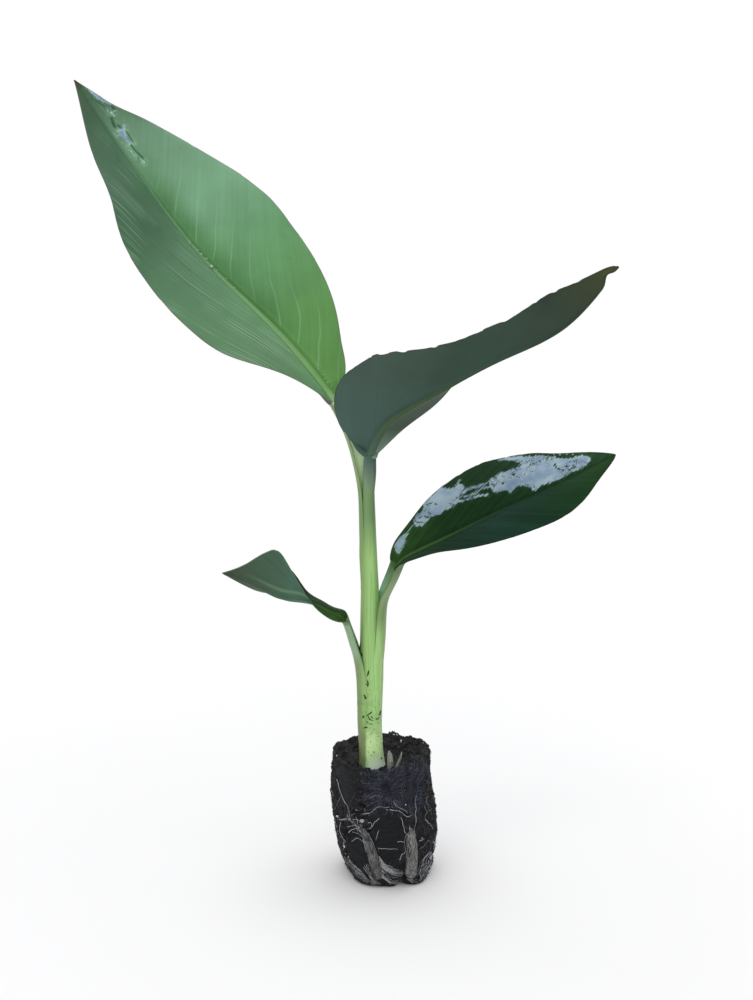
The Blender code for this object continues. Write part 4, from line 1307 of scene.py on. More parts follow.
# %% From a sheath to a free stalk
def stalk_grid(number):
    """The sheath follows the stem, then the groove's middle leaves the stem's axis for the blade."""
    stalk, leaf = STALKS[number], LEAVES[number]
    tip, tip_tangent, tip_up, groove = stalk_end(leaf)
    hug = round(STALK_ROWS * SHEATH_SHARE)
    sheath = stem_axis(np.linspace(stalk.foot_z, stalk.part_z, hug) * MM)
    t = np.linspace(0, 1, STALK_ROWS - hug + 1)[1:]
    free = np.concatenate([sheath[-1:], np.array(stalk.free) * MM, tip[None]])
    centres = np.concatenate([sheath, spline(free, t)])
    share = np.concatenate([np.zeros(hug), smooth_step(t)])[:, None]
    tangent = along(centres)
    lead = smooth_step((share - 0.8) / 0.2)
    tangent = unit((1 - lead) * tangent + lead * tip_tangent)
    up = square_to(tangent, (1 - share) * -polar(stalk.azimuth) + share * tip_up)

    hold = stem_radius(np.minimum(centres[:, 2], STEM_HIGH))[:, None] - SHEATH_SUNK
    away = np.linalg.norm((centres - stem_axis(centres[:, 2]))[:, :2], axis=1)[:, None]
    clear_of_stem = np.hstack([np.sqrt(np.clip(hold**2 - away**2, 0, None)), hold - away])
    inner = np.maximum((1 - share) * hold + share * groove, clear_of_stem)
    grow = SHEATH_FOOT + (1 - SHEATH_FOOT) * smooth_step(np.linspace(0, 3, STALK_ROWS))[:, None]
    depth = ((stalk.sheath * grow * (1 - share) + STALK_BACK[number] * share) * MM)[:, 0]
    climb = np.concatenate([np.linspace(0, 1, hug), np.ones(len(t))])
    left = (1 - share[:, 0]) * np.interp(climb, [0, 1], stalk.wrap) + share[:, 0] * LIP_DEGREES
    right = (1 - share[:, 0]) * np.interp(climb, [0, 1], stalk.wrap_right) + share[:, 0] * LIP_DEGREES
    grid, side = grooved(centres, tangent, up, inner, depth, left, right, SHEATH_RIB * (1 - share), 1 - share)
    return grid, stalk_values(grid, side, lengths_along(centres)[:, None] / MM, share)


print("stalk 1 is a grid of", stalk_grid(1)[0].shape)

# %% The newest leaf's stalk
TOP_STALK_ROWS = 60
TOP_STALK_SUNK = 6 * MM  # it starts this far down inside the stem
TOP_STALK_LENGTH = 20  # mm, for its colours
TOP_STALK_HOLLOW = np.array([0.5, 0.5]) * MM  # the half-width and depth of its groove where it starts
TOP_STALK_WALL, TOP_STALK_REACH = 1.8 * MM, 178  # and there its wall, and how far round the wall goes


def top_stalk_grid():
    """The newest leaf's stalk: a tube that grows out of the stem's top and opens into a groove."""
    leaf = LEAVES[2]
    tip, tip_tangent, tip_up, groove = stalk_end(leaf)
    foot = stem_axis(np.array([STEM_HIGH - TOP_STALK_SUNK]))[0]
    t = np.linspace(0, 1, TOP_STALK_ROWS)[:, None]
    centres = foot + t * (tip - foot)
    tangent = unit((1 - t) * np.array([0, 0, 1.0]) + t * tip_tangent)
    up = square_to(tangent, np.repeat(tip_up[None], len(t), axis=0))
    opening = smooth_step(t)
    inner = (1 - opening) * TOP_STALK_HOLLOW + opening * groove
    depth = ((1 - opening) * TOP_STALK_WALL + opening * STALK_BACK[2] * MM)[:, 0]
    reach = (TOP_STALK_REACH + (LIP_DEGREES - TOP_STALK_REACH) * opening)[:, 0]
    fine = TOP_STALK_RIB * (1 - opening)
    grid, side = grooved(centres, tangent, up, inner, depth, reach, reach, fine, 0.0)
    return grid, stalk_values(grid, side, t * TOP_STALK_LENGTH, opening)


STALK_GRIDS = {number: top_stalk_grid() if number == 2 else stalk_grid(number) for number in LEAVES}
for number, (grid, _) in STALK_GRIDS.items():
    print("stalk", number, "ends at pixel", seen_at(grid[-1].mean(axis=0)).round())

# %% [markdown]
# Stem and stalks share a waxy, juicy skin. It is pale yellow-green in the middle and darker towards the
# roll's left and right edges, which is painted shade, and lighter towards +x, which is painted light. It has
# fine lengthwise streaks, and it turns almost white where it was underground. The free stalks are greyer,
# because their wax is unworn.

# %% Stem and stalk materials
GLOW, GLOW_RADIUS, GLOW_DEPTH = 0.08, (0.6, 1.0, 0.3), 0.001  # light that spreads inside the juicy roll


def stem_material():
    """The roll's shared skin, with a little light spreading inside it."""
    material, r, shader = new_material("stem_skin", 0.42, 0.3)
    skin = r.use(SHEATH_SKIN)
    r.finish(shader, skin["Color"], skin["Height"], 0.5, 0.0001)
    shader["Subsurface Weight"].default_value = GLOW
    shader["Subsurface Radius"].default_value = GLOW_RADIUS
    shader["Subsurface Scale"].default_value = GLOW_DEPTH
    return material


def stalk_material(name, inner, outer, lip, length, parting=(0.0, 0.35)):
    """A sheath low down, where it is part of the roll, and a free stalk above it. inner and outer hold the
    free stalk's colours from the foot to the blade, length mm on, and parting says over which part of the
    way the roll's colours give way to them. The lips are darker."""
    material, r, shader = new_material(name, 0.42, 0.3)
    side, free, along_it = r.value_of("side"), r.value_of("free"), r.value_of("along")
    skin = r.use(SHEATH_SKIN)
    lines = r.use(STREAKS, Place=r.vector(r.times(side, 6.0), 0.0, along_it), Count=1.5, Length=0.05)
    climb = r.times(along_it, 1 / length)
    colour = r.mix(r.value_of("outside"), r.ramp(climb, *inner), r.ramp(climb, *outer))
    colour = r.toned(colour, r.ease(lines["Lines"], 0.0, 1.0, 0.88, 1.1))
    colour = r.over(colour, lip, r.ease(r.maths("ABSOLUTE", side), 0.86, 1.0), 0.55)
    specks = r.use(SPECKS, Speck_Size=1.1, Share=0.15, Seed=6.0)["Mask"]
    colour = r.over(colour, rgb(78, 92, 56), specks, 0.3)
    colour = r.mix(r.ease(free, *parting), skin["Color"], colour)
    r.finish(shader, colour, lines["Height"], 0.5, 0.0001)
    return material


STALK_TINTS = {
    1: {
        # Stalk 1's channel turns nearly white towards the blade: painted light against the shade of the
        # leaves above it.
        "inner": even((110, 134, 80), (120, 142, 88), (190, 214, 160), (226, 250, 204), (220, 248, 196)),
        "outer": even((140, 178, 104), (130, 168, 98), (134, 166, 108), (150, 178, 126), (140, 172, 116)),
        "lip": rgb(124, 134, 98), "length": 85.0,
    },
    2: {
        "inner": even((112, 142, 84), (80, 104, 76), (70, 96, 84)),
        "outer": even((130, 162, 112), (124, 152, 118), (100, 126, 106), (72, 98, 88)),
        "lip": rgb(60, 74, 50), "length": 20.0,
    },
    3: {
        # Stalk 3's groove is lightened against the shade inside it, and its palest stop is a painted
        # highlight, a wet shiny streak.
        "inner": placed((0.0, 120, 152, 92), (0.5, 150, 186, 136), (0.69, 176, 214, 184),
                        (0.76, 124, 162, 126), (0.81, 78, 114, 68), (0.87, 30, 58, 28)),
        "outer": placed((0.0, 150, 184, 112), (0.5, 134, 166, 98), (0.62, 126, 156, 96),
                        (0.7, 136, 162, 114), (0.76, 130, 156, 108), (0.82, 112, 136, 92),
                        (0.87, 66, 92, 52)),
        "lip": rgb(112, 122, 84), "length": 95.0,
    },
    4: {
        "inner": even((110, 130, 86), (120, 140, 92), (150, 180, 138), (120, 150, 104)),
        "outer": even((126, 142, 92), (122, 142, 92), (130, 154, 106), (152, 184, 144), (140, 172, 132)),
        "lip": rgb(112, 136, 92), "length": 70.0, "parting": (0.3, 0.8),
    },
}  # fmt: skip


def add_stem_and_stalks():
    """The five grids as pieces, each stalk with a skin of its own."""
    stem = add_skin("stem_core", STEM_GRID, [stem_material()])
    settle(stem, "stem_skin", "stem")
    for number, (grid, values) in STALK_GRIDS.items():
        finish = stalk_material(f"stalk_{number}_skin", **STALK_TINTS[number])
        stalk = add_skin(f"leaf_{number}_stalk", grid, [finish], None, values)
        settle(stalk, "stalk_skin", f"stalk_{number}")
        print(stalk.name, len(stalk.data.polygons), "faces")


add_stem_and_stalks()

# %% [markdown]
# The root ball is peat that took the shape of its tray cell. Where it touched the cell it is smooth and
# compressed; elsewhere it is crumbs and pores. The solid gives the shape. This skin repeats its turned
# profile, closes it below and above, and then roughens it along its own surface, least on the smooth
# patches. The rim dips where the stem stands, because the peat was pressed away there.

# %% The root ball's skin
BALL_HEIGHTS = [0, 1.2, 5, 11, 19, 28, 37, 46, 52.5, 54]
BALL_RADII = [17.6, 18.9, 19.7, 20.6, 21.5, 21.7, 21.3, 20.7, 20.5, 19.2]
BALL_LEAN = [0.3, 0.3, 0.1, -0.1, -0.4, -1.0, -1.8, -2.2, -2.0, -1.7]
BALL_LUMPS = [(0.35, 3, 0, 0.6), (0.3, 5, 111, 0), (0.2, 8, -167, 0)]
CLEFT = {"azimuth": -70, "width": 7, "reach": -4 * MM, "top": 16 * MM}
TOE = {"azimuth": -46, "width": 15, "reach": 2.4 * MM, "top": 14 * MM}
SHOULDER = {"azimuth": -168, "width": 32, "reach": -2.2 * MM, "top": 13 * MM}  # the rounded lower left
RIM_Z = 54 * MM
RIM_DIP, DIP_AZIMUTH, DIP_WIDTH = 3.0 * MM, -101, 24
RIM_LUMP = 0.7 * MM
SOIL_CENTRE = np.array([-2.5, -5.5, 49.2]) * MM
SOIL_RADIUS = 10.5 * MM
BALL_COLUMNS, UNDER_ROWS, SIDE_ROWS, TOP_ROWS = 360, 14, 165, 62
FINE_RELIEF, COARSE_RELIEF, CELL_RIBS = 0.28 * MM, 0.4 * MM, 0.1 * MM
PATCH_FRAY = 2.2 * MM  # the size of the bumps along a patch's edge

# Smooth patches where the peat touched its cell, and the felt of root hairs, in the photograph's pixels.
SMOOTH_PATCHES = [
    [(336.9, 768.5), (359.8, 767.5), (361, 780), (357, 792), (354, 803), (344, 806), (338, 795)],
    [(374, 816), (386, 813.5), (400, 815), (402.5, 826), (401.5, 857), (386, 858.5), (379, 846),
     (374.5, 832)],
    [(349.5, 836.5), (365.5, 836.5), (369, 859.5), (368, 872), (356.5, 865.5), (348.5, 850.5)],
]
FELT = [[(365.5, 766.5), (423, 766.5), (422, 802), (414, 809), (393, 809), (377, 804.5), (365.5, 796.5)]]


print("the ball is", BALL_HEIGHTS[-1], "mm tall and", 2 * max(BALL_RADII), "mm across")

# %% The ball's plain shape
def degrees_from(azimuth, at):
    """How far round a direction lies from azimuth, from -180 to 180 degrees."""
    return (at - azimuth + 180) % 360 - 180


def foot_bump(at, z, azimuth, width, reach, top):
    """A bump on the ball's side at azimuth, which fades out towards its top."""
    return reach * hump(degrees_from(azimuth, at), width) * (1 - smooth_step(z / top))


def ball_radius(azimuth, z):
    """The turned profile, with a few soft lumps round it and three bumps at its foot."""
    profile = np.interp(z / MM, BALL_HEIGHTS, BALL_RADII) * MM
    for height, count, rise, phase in BALL_LUMPS:
        profile = profile + height * MM * np.sin(count * np.radians(azimuth) + z * rise + phase)
    return profile + sum(foot_bump(azimuth, z, **bump) for bump in (CLEFT, TOE, SHOULDER))


def ball_point(azimuth, z, lift=0.0):
    """Points on the ball's side, or this far off it."""
    lean = np.interp(z / MM, BALL_HEIGHTS, BALL_LEAN) * MM
    axis = np.stack([lean, np.zeros_like(lean), z + 0 * lean], axis=-1)
    return axis + (ball_radius(azimuth, z) + lift)[..., None] * polar(azimuth)


def ball_base():
    """The plain shape: rings out across the underside, up the side, and inwards over the soil."""
    azimuth = np.arange(BALL_COLUMNS) * 360 / BALL_COLUMNS
    uneven = rough_noise(polar(azimuth) * 9, 2.2, 3, 31)
    rim_z = RIM_Z - RIM_DIP * hump(degrees_from(DIP_AZIMUTH, azimuth), DIP_WIDTH) + RIM_LUMP * uneven
    low = ball_point(azimuth, np.zeros(BALL_COLUMNS))
    shares = np.linspace(0.02, 1, UNDER_ROWS, endpoint=False)[:, None, None]
    climb = np.linspace(0, 1, SIDE_ROWS)[:, None] * rim_z[None]
    side = ball_point(np.repeat(azimuth[None], SIDE_ROWS, axis=0), climb)
    rim = side[-1]
    patch = SOIL_CENTRE + SOIL_RADIUS * polar(azimuth)
    s = np.linspace(0, 1, TOP_ROWS // 2 + 1)[1:, None, None]
    slope = rim + (patch - rim) * s
    slope[..., 2] = rim[:, 2] + (patch[:, 2] - rim[:, 2]) * smooth_step(s[..., 0] * 1.15)
    inner = SOIL_CENTRE + (patch - SOIL_CENTRE) * np.linspace(1, 0.02, TOP_ROWS // 2 + 1)[1:, None, None]
    return np.concatenate([low * shares, side, slope, inner])


print("rows and columns of the plain ball:", ball_base().shape[:2])

# %% The relief of the peat
def patch_cover(points, facing, outlines, soft):
    """1 inside the outlines as the camera sees them, on the front only, with a ragged edge about soft
    pixels wide."""
    pixels = seen_at(points)
    inside = np.max([inside_outline(pixels, outline) for outline in outlines], axis=0)
    inside = inside + soft * rough_noise(points, PATCH_FRAY, 3, 45)
    towards = unit(EYE - points)
    return smooth_step(inside / soft + 0.5) * ((facing * towards).sum(axis=-1) > 0)


def grid_normals(grid):
    """The way a grid's surface looks at each point: the cross product of the steps round it and up it,
    which points outwards for a grid that climbs and turns left."""
    round_it = np.roll(grid, -1, axis=1) - np.roll(grid, 1, axis=1)
    up_it = np.gradient(grid, axis=0)
    return unit(np.cross(round_it, up_it))


def ball_skin():
    """The plain shape with its relief: each point moves along its normal by coarse and fine noise where the
    peat is open, and by thin level ribs where it is smooth. Returns it with its normals and its values."""
    base = ball_base()
    facing = grid_normals(base)
    smooth_front = patch_cover(base, facing, SMOOTH_PATCHES, 3.0)
    felt = patch_cover(base, facing, FELT, 6.0)
    level = base[..., 2]
    elsewhere = smooth_step(soft_noise(base, 13 * MM, 41) * 2.2) * (base[..., 1] > 0)
    on_side = np.abs(facing[..., 2]) < 0.5
    smooth = np.maximum(smooth_front, elsewhere) * on_side
    coarse = rough_noise(base, 3.4 * MM, 2, 33)
    fine = rough_noise(base, 1.1 * MM, 2, 37)
    open_peat = 1 - 0.92 * smooth
    on_top = smooth_step((facing[..., 2] - 0.3) / 0.4)
    above = smooth_step(level / (1.5 * MM))
    height = COARSE_RELIEF * (1 + on_top) * coarse + FINE_RELIEF * (1 + 0.6 * on_top) * fine
    height = height * open_peat * above
    ribs = CELL_RIBS * rough_noise(base * np.array([0.12, 0.12, 1.0]), 0.8 * MM, 2, 39) * smooth
    grid = base + (height + ribs)[..., None] * facing
    grid[..., 2] = np.maximum(grid[..., 2], 0)
    return grid, grid_normals(grid), {"smooth": smooth, "felt": felt, "height": height / MM, "top": on_top}


BALL_GRID, BALL_FACING, BALL_VALUES = ball_skin()
relief = BALL_VALUES["height"]
print("ball grid", BALL_GRID.shape, "relief from", relief.min().round(2), "to", relief.max().round(2), "mm")

# %% [markdown]
# Moist peat is nearly black, with brown fibres where it is dry and a soft shine where it is wet and pressed.
# The felt of fine root hairs below the stem gives it a blue-grey bloom. Pores are painted darker, as shade
# that follows the relief.

# %% Peat and root materials
def peat_material():
    """Clods and fibres of noise, blackest in the pores with painted shade, smooth and dark where the cell
    pressed it.
    """
    material, r, shader = new_material("moist_peat", 0.75, 0.15)
    smooth = r.value_of("smooth")
    fibres = r.noise(r.place(), 1400.0, 4.0, 0.7)
    clods = r.noise(r.place(), 330.0, 3.0, 0.6)
    colour = r.mix(r.ease(clods, 0.4, 0.7), rgb(24, 23, 25), rgb(46, 44, 44))
    colour = r.over(colour, rgb(84, 80, 76), r.ease(fibres, 0.58, 0.72), 0.6)
    # Painted shade: near black where the relief dips into pores.
    colour = r.over(colour, rgb(10, 9, 11), r.ease(r.value_of("height"), -0.1, -0.5))
    colour = r.over(colour, rgb(70, 70, 68), r.value_of("top"), r.ease(fibres, 0.35, 0.6), 0.5)
    level = r.vector_maths("MULTIPLY", r.place(), (0.15, 0.15, 1.0))
    pressed = r.mix(r.ease(r.noise(level, 2200.0, 3.0, 0.7), 0.35, 0.65), rgb(13, 14, 16), rgb(30, 32, 36))
    colour = r.over(colour, pressed, smooth, 0.9)
    hairs = r.ease(r.noise(r.place(), 700.0, 4.0, 0.75), 0.35, 0.68)
    colour = r.over(colour, rgb(58, 60, 78), r.value_of("felt"), hairs, 0.6)
    r.feed(shader["Roughness"], r.ease(smooth, 0.0, 1.0, 0.8, 0.6))
    r.finish(shader, colour, r.plus(r.times(fibres, 0.7), clods), 0.8, 0.0003)
    return material


def root_material(name, dark, light, stain_scale, roughness):
    """A root's skin: fibres along it, and stains."""
    material, r, shader = new_material(name, roughness, 0.35)
    stretched = r.vector_maths("MULTIPLY", r.place(), (1.0, 1.0, 0.22))
    lines = r.noise(stretched, stain_scale * 5, 3.0, 0.65)
    stains = r.noise(r.place(), stain_scale, 3.0, 0.6)
    tone = r.ease(r.plus(r.times(lines, 0.5), r.times(stains, 0.5)), 0.38, 0.62)
    r.finish(shader, r.mix(tone, rgb(*dark), rgb(*light)), lines, 0.6, 0.0002)
    return material


def plain_material(name, colour, roughness):
    """One colour all over, for the many small things that share a mesh."""
    material, _, shader = new_material(name, roughness, 0.3)
    shader["Base Color"].default_value = rgb(*colour)
    return material


def plain_materials(*looks):
    """One plain material for each (name, colour, roughness)."""
    return [plain_material(*look) for look in looks]


ball = add_skin("root_ball_skin", BALL_GRID, [peat_material()], None, BALL_VALUES)
settle(ball, "moist_peat", "root_ball")
print(ball.name, len(ball.data.polygons), "faces")

# %% [markdown]
# Loose crumbs of peat, and a few white grains of perlite. Modelled lumps break the outline and throw
# small shadows, which a bump cannot do. Each is a 20-sided lump with its corners pushed in and out at
# random. Most lie on the soil and on the open peat of the sides, where they really cling.

# %% One lump
GOLDEN = (1 + 5**0.5) / 2
SIGNS = [(s, t * GOLDEN) for s in (-1, 1) for t in (-1, 1)]
LUMP_CORNERS = unit(
    np.array([(0, s, t) for s, t in SIGNS] + [(s, t, 0) for s, t in SIGNS] + [(t, 0, s) for s, t in SIGNS])
)


def lump_faces():
    """The 20 triangles between corners that lie next to each other, all wound outwards."""
    gap = np.linalg.norm(LUMP_CORNERS[:, None] - LUMP_CORNERS[None], axis=2)
    near = (gap > 0.1) & (gap < 1.2)
    faces = [(a, b, c) for a, b, c in combinations(range(12), 3) if near[a, b] and near[b, c] and near[a, c]]
    faces = np.array(faces)
    a, b, c = (LUMP_CORNERS[faces[:, k]] for k in range(3))
    inward = (np.cross(b - a, c - a) * a).sum(axis=1) < 0
    faces[inward] = faces[inward][:, ::-1]
    return faces


LUMP_FACES = lump_faces()


def lumps(name, centres, facing, sizes, flat, materials, kinds, random):
    """Irregular lumps at centres. flat is how thick each is along facing, as a share of its size."""
    count = len(centres)
    corners = LUMP_CORNERS[None] * random.uniform(0.65, 1.25, (count, 12, 1))
    corners = corners * random.uniform(0.6, 1.3, (count, 1, 3))
    along_facing = (corners * facing[:, None]).sum(axis=2, keepdims=True) * facing[:, None]
    corners = corners + (flat - 1) * along_facing
    points = centres[:, None] + corners * sizes[:, None, None]
    points[..., 2] = np.maximum(points[..., 2], 0)
    faces = (LUMP_FACES[None] + 12 * np.arange(count)[:, None, None]).reshape(-1, 3)
    return add_mesh(name, points.reshape(-1, 3), faces, materials, np.repeat(kinds, len(LUMP_FACES)))


print("a lump has", len(LUMP_FACES), "faces")

# %% Crumbs
CRUMB_COUNT = 3000


def places_on_ball(count, weight, random):
    """Random points of the ball's grid, picked by area times weight, with the way the surface looks there."""
    step_round = np.linalg.norm(np.roll(BALL_GRID, -1, axis=1) - BALL_GRID, axis=2)
    step_up = np.linalg.norm(np.gradient(BALL_GRID, axis=0), axis=2)
    chance = (step_round * step_up * weight).ravel()
    chosen = random.choice(len(chance), count, p=chance / chance.sum())
    return BALL_GRID.reshape(-1, 3)[chosen], BALL_FACING.reshape(-1, 3)[chosen]


def add_crumbs():
    """Crumbs in clumps, most of them on the soil, few on the smooth patches and the felt."""
    random = np.random.default_rng(5)
    open_peat = (1 - 0.97 * BALL_VALUES["smooth"]) * (1 - 0.75 * BALL_VALUES["felt"])
    on_top = smooth_step((BALL_FACING[..., 2] - 0.2) / 0.4)
    off_floor = smooth_step((BALL_GRID[..., 2] / MM - 0.8) / 0.5)
    clumps = smooth_step(soft_noise(BALL_GRID, 5 * MM, 43) + 0.6)
    weight = open_peat * (0.35 + 1.5 * on_top) * off_floor * clumps
    centres, facing = places_on_ball(CRUMB_COUNT, weight, random)
    sizes = 0.2 * MM + 0.55 * MM * random.random(CRUMB_COUNT) ** 3
    kinds = random.choice(3, CRUMB_COUNT, p=[0.6, 0.34, 0.06])
    black, brown, grey = (34, 33, 34), (50, 45, 43), (72, 72, 74)
    finishes = plain_materials(
        ("crumb_black", black, 0.8), ("crumb_brown", brown, 0.85), ("crumb_grey", grey, 0.85)
    )
    centres = centres + facing * 0.1 * MM
    crumbs = lumps("peat_crumbs", centres, facing, sizes, 0.8, finishes, kinds, random)
    settle(crumbs, "moist_peat")
    print(crumbs.name, len(crumbs.data.polygons), "triangles")


add_crumbs()

# %% Perlite
PERLITE = [
    (336.9, 755.8, 0.45, 0), (345.7, 757, 0.3, 0), (401.1, 741.5, 0.9, 0), (337.5, 816, 0.7, 0),
    (344.4, 846.4, 0.85, 0), (423.5, 829.8, 0.4, 0), (362.1, 820.6, 1.3, 1), (405.7, 804.6, 0.35, 0),
    (345.5, 853.3, 0.35, 0), (348.4, 856.7, 0.3, 0), (394, 734.6, 0.45, 0), (397, 735, 0.5, 0),
    (400.5, 736, 0.4, 0), (423, 743, 0.3, 0), (356.5, 810, 0.45, 1), (422, 838, 0.3, 0),
]  # fmt: skip


def tree_of(*grids):
    """What rays hit and paths are laid on: the faces of one or more grids."""
    points, faces = [], []
    for grid in grids:
        faces += (strips(*grid.shape[:2])[0] + len(points)).tolist()
        points += grid.reshape(-1, 3).tolist()
    return BVHTree.FromPolygons(points, faces)


BALL_TREE = tree_of(BALL_GRID)
STEM_TREE = tree_of(STEM_GRID, STALK_GRIDS[3][0], STALK_GRIDS[4][0])


def seen_on(pixels, tree=BALL_TREE):
    """Where the camera sees a surface at each pixel, and the way the surface looks there."""
    hits = [tree.ray_cast(EYE.tolist(), ray_through(pixel).tolist()) for pixel in pixels]
    kept = [hit for hit in hits if hit[0] is not None]
    return np.array([hit[0][:] for hit in kept]), np.array([hit[1][:] for hit in kept])


def add_perlite():
    """Grains at their places in the photograph: pixel, size in mm, and 1 for a grey one."""
    random = np.random.default_rng(8)
    grains = np.array(PERLITE)
    centres, facing = seen_on(grains[:, :2])
    finishes = plain_materials(
        ("perlite_white", (232, 233, 232), 0.7), ("perlite_grey", (168, 172, 186), 0.7)
    )
    sizes, grey = grains[:, 2] * MM, grains[:, 3].astype(int)
    piece = lumps("perlite", centres, facing, sizes, 0.7, finishes, grey, random)
    settle(piece, "moist_peat")
    print(piece.name, len(centres), "of", len(PERLITE), "grains found their place")


add_perlite()

# %% [markdown]
# Roots. Two thick ones run down the front in grooves of the solid, and the finer ones branch over the
# surface. Every root is a tube along a path. The fine ones that the photograph shows were traced as
# a few points each and laid on the ball through the camera. The hidden sides get roots that wander down
# by chance, as many to a square centimetre as on the front.

# %% Where the fine roots lie
# Fine roots that the photograph shows, as pixels, each with its thickness in mm.
FINE_ROOTS = [
    (0.3, [(336.9, 779.3), (340.9, 793.1), (346.7, 804.6), (349, 812.6), (349.5, 820.6)]),
    (0.26, [(355.3, 793.7), (351.2, 801.1), (348.4, 809.1), (346.7, 817.2)]),
    (0.24, [(340.9, 796.5), (338, 802.3), (334.6, 809.1)]),
    (0.3, [(339.2, 819.5), (348.4, 819.5), (356.4, 819.5), (359.8, 821.8)]),
    (0.32, [(348.4, 832.1), (355.3, 828.6), (361, 832.1), (365.6, 837.8)]),
    (0.32, [(362.7, 813.7), (369.1, 813.2), (374.2, 809.7), (379.3, 806.9), (385.6, 807.4), (393.1, 806.9)]),
    (0.38, [(386.2, 809.7), (395.4, 810.3), (402.3, 813.7), (407.4, 816.6), (412, 814.9)]),
    (0.26, [(379.3, 818.3), (374.2, 823.5), (370.7, 828.1), (367.3, 828.6)]),
    (0.24, [(367.9, 822.9), (371.3, 822.9), (371.9, 827.5)]),
    (0.2, [(378.2, 830.4), (377, 836.7), (375.9, 840.1)]),
    (0.3, [(416.6, 794.2), (415.5, 804.6), (415.5, 813.7), (415.5, 822.9), (413.7, 830.9)]),
    (0.28, [(401.1, 817.2), (402.8, 822.9), (404.6, 830.9), (410.3, 836.7)]),
    (0.3, [(393.1, 801.1), (396.5, 805.7), (402.3, 809.1), (407.4, 812.6)]),
    (0.26, [(397.7, 841.8), (401.1, 841.3), (404.6, 841.8)]),
    (0.3, [(400.5, 859.6), (401.1, 855.6), (404, 853.3), (405.1, 850.4)]),
    (0.34, [(419.5, 841.3), (424.1, 838.4)]),
    (0.2, [(377.6, 847.6), (383.9, 848.7), (393.1, 848.7), (398.3, 849.3)]),
    (0.3, [(379.3, 858.5), (383.9, 862.5), (389.7, 864.8)]),
    (0.22, [(422.9, 783.9), (421.8, 790.8), (418.9, 797.7)]),
    (0.24, [(418.3, 775.3), (421.8, 772.5), (423.5, 767.9), (421.8, 763.3)]),
    (0.2, [(428.6, 811.4), (432.1, 809.1)]), (0.26, [(425.2, 819.5), (430.9, 825.2), (432.1, 829.8)]),
    (0.26, [(342.6, 833.2), (342.1, 839), (344.9, 842.4)]),
    (0.24, [(412, 792), (411, 800), (409, 808), (407, 812)]), (0.2, [(370, 798), (376, 796), (381, 797)]),
    (0.22, [(352, 842), (358, 838), (364, 843), (366, 852)]),
    (0.22, [(341, 822), (340, 832), (344, 841), (343, 851)]),
    (0.22, [(347, 814), (352, 821), (358, 828), (364, 835), (368, 844)]),
    (0.2, [(356, 817), (358, 825), (362, 833), (367, 841)]),
    (0.2, [(348, 827), (354, 825), (360, 828), (366, 835)]),
    (0.18, [(352, 832), (357, 833), (363, 838), (368, 847)]),
    (0.16, [(344, 811), (347, 820), (352, 827), (359, 830)]),
    (0.18, [(336, 816), (343, 819), (350, 817), (355, 813)]),
    (0.2, [(410, 826), (409, 832), (407, 838), (406, 846)]),
    (0.2, [(418, 826), (416, 833), (413, 838), (412, 844)]),
    (0.16, [(424, 806), (427, 812), (425, 818), (429, 824)]),
    (0.16, [(429, 796), (426, 801), (429, 806), (426, 811)]),
    (0.16, [(420, 848), (424, 846), (428, 841), (431, 842)]),
]  # fmt: skip

# Mats of thin roots: how many strands, how many of them are pale, and the guides that they lie between.
MATS = [
    (56, 0.7, [(379, 857), (385, 864), (393, 869), (403, 872)],
     [(377, 872), (383, 879), (391, 884), (402, 884)]),
    (15, 1.0, [(430, 850), (425, 855), (420.5, 864), (417, 874)],
     [(431, 858), (429, 866), (425, 875), (421, 882)]),
    (34, 0.2, [(350.7, 860.7), (359.8, 871), (368, 879), (377, 883)],
     [(343.8, 857), (351.8, 869), (361, 879.5), (371, 885)]),
    (18, 0.25, [(368, 862), (371, 870), (375, 878), (382, 883)],
     [(366, 868), (369, 876), (373, 882), (378, 885)]),
    (16, 0.25, [(362, 830), (367, 842), (371, 856), (374, 870)],
     [(368, 834), (374, 844), (378, 857), (381, 870)]),
    (14, 0.3, [(408, 833), (405, 842), (405.5, 852), (406.5, 864)],
     [(414, 831), (416.5, 842), (417, 853), (416.5, 866)]),
    (10, 0.2, [(410, 872), (414, 877), (418, 880), (424, 881)],
     [(408, 878), (412, 884), (418, 886), (425, 884)]),
    (7, 0.2, [(345, 818), (350, 822), (357, 829), (364, 838)],
     [(349, 816), (355, 820), (361, 827), (366, 835)]),
]  # fmt: skip
print("traced:", len(FINE_ROOTS), "roots and", len(MATS), "mats")

# %% Tubes laid on a surface
TUBE_ROWS = 26


def tubes(paths, radii, sides):
    """Round tubes along paths, (count, rows, 3), with radii, (count, rows). Returns points and faces."""
    count, rows = paths.shape[:2]
    tangent = unit(np.gradient(paths, axis=1))
    first = square_to(tangent, np.broadcast_to([0.31, 0.17, 0.93], paths.shape))
    second = np.cross(tangent, first)
    turn = np.arange(sides) * 2 * np.pi / sides
    ring = np.cos(turn)[:, None] * first[:, :, None] + np.sin(turn)[:, None] * second[:, :, None]
    points = paths[:, :, None] + radii[..., None, None] * ring
    faces, _ = strips(rows, sides)
    faces = (faces[None, :, ::-1] + rows * sides * np.arange(count)[:, None, None]).reshape(-1, 4)
    return points.reshape(-1, 3), faces


def on_surface(path, lift, tree=BALL_TREE):
    """A path moved onto a surface, its points lifted off it by lift."""
    found = [tree.find_nearest(point)[:2] for point in path.tolist()]
    places, facing = np.array([place[:] for place, _ in found]), np.array([way[:] for _, way in found])
    return places + lift[:, None] * facing


def traced(pixels, lift, wiggle, seed, tree=BALL_TREE):
    """A path through the given pixels of the photograph, laid on a surface."""
    places, _ = seen_on(pixels, tree)
    t = np.linspace(0, 1, TUBE_ROWS)
    path = spline(places, t)
    path = path + wiggle * np.stack([soft_noise(path + k, 1.5 * MM, seed) for k in range(3)], axis=1)
    return on_surface(path, lift * (0.6 + 0.4 * np.sin(t * 9 + seed)), tree)


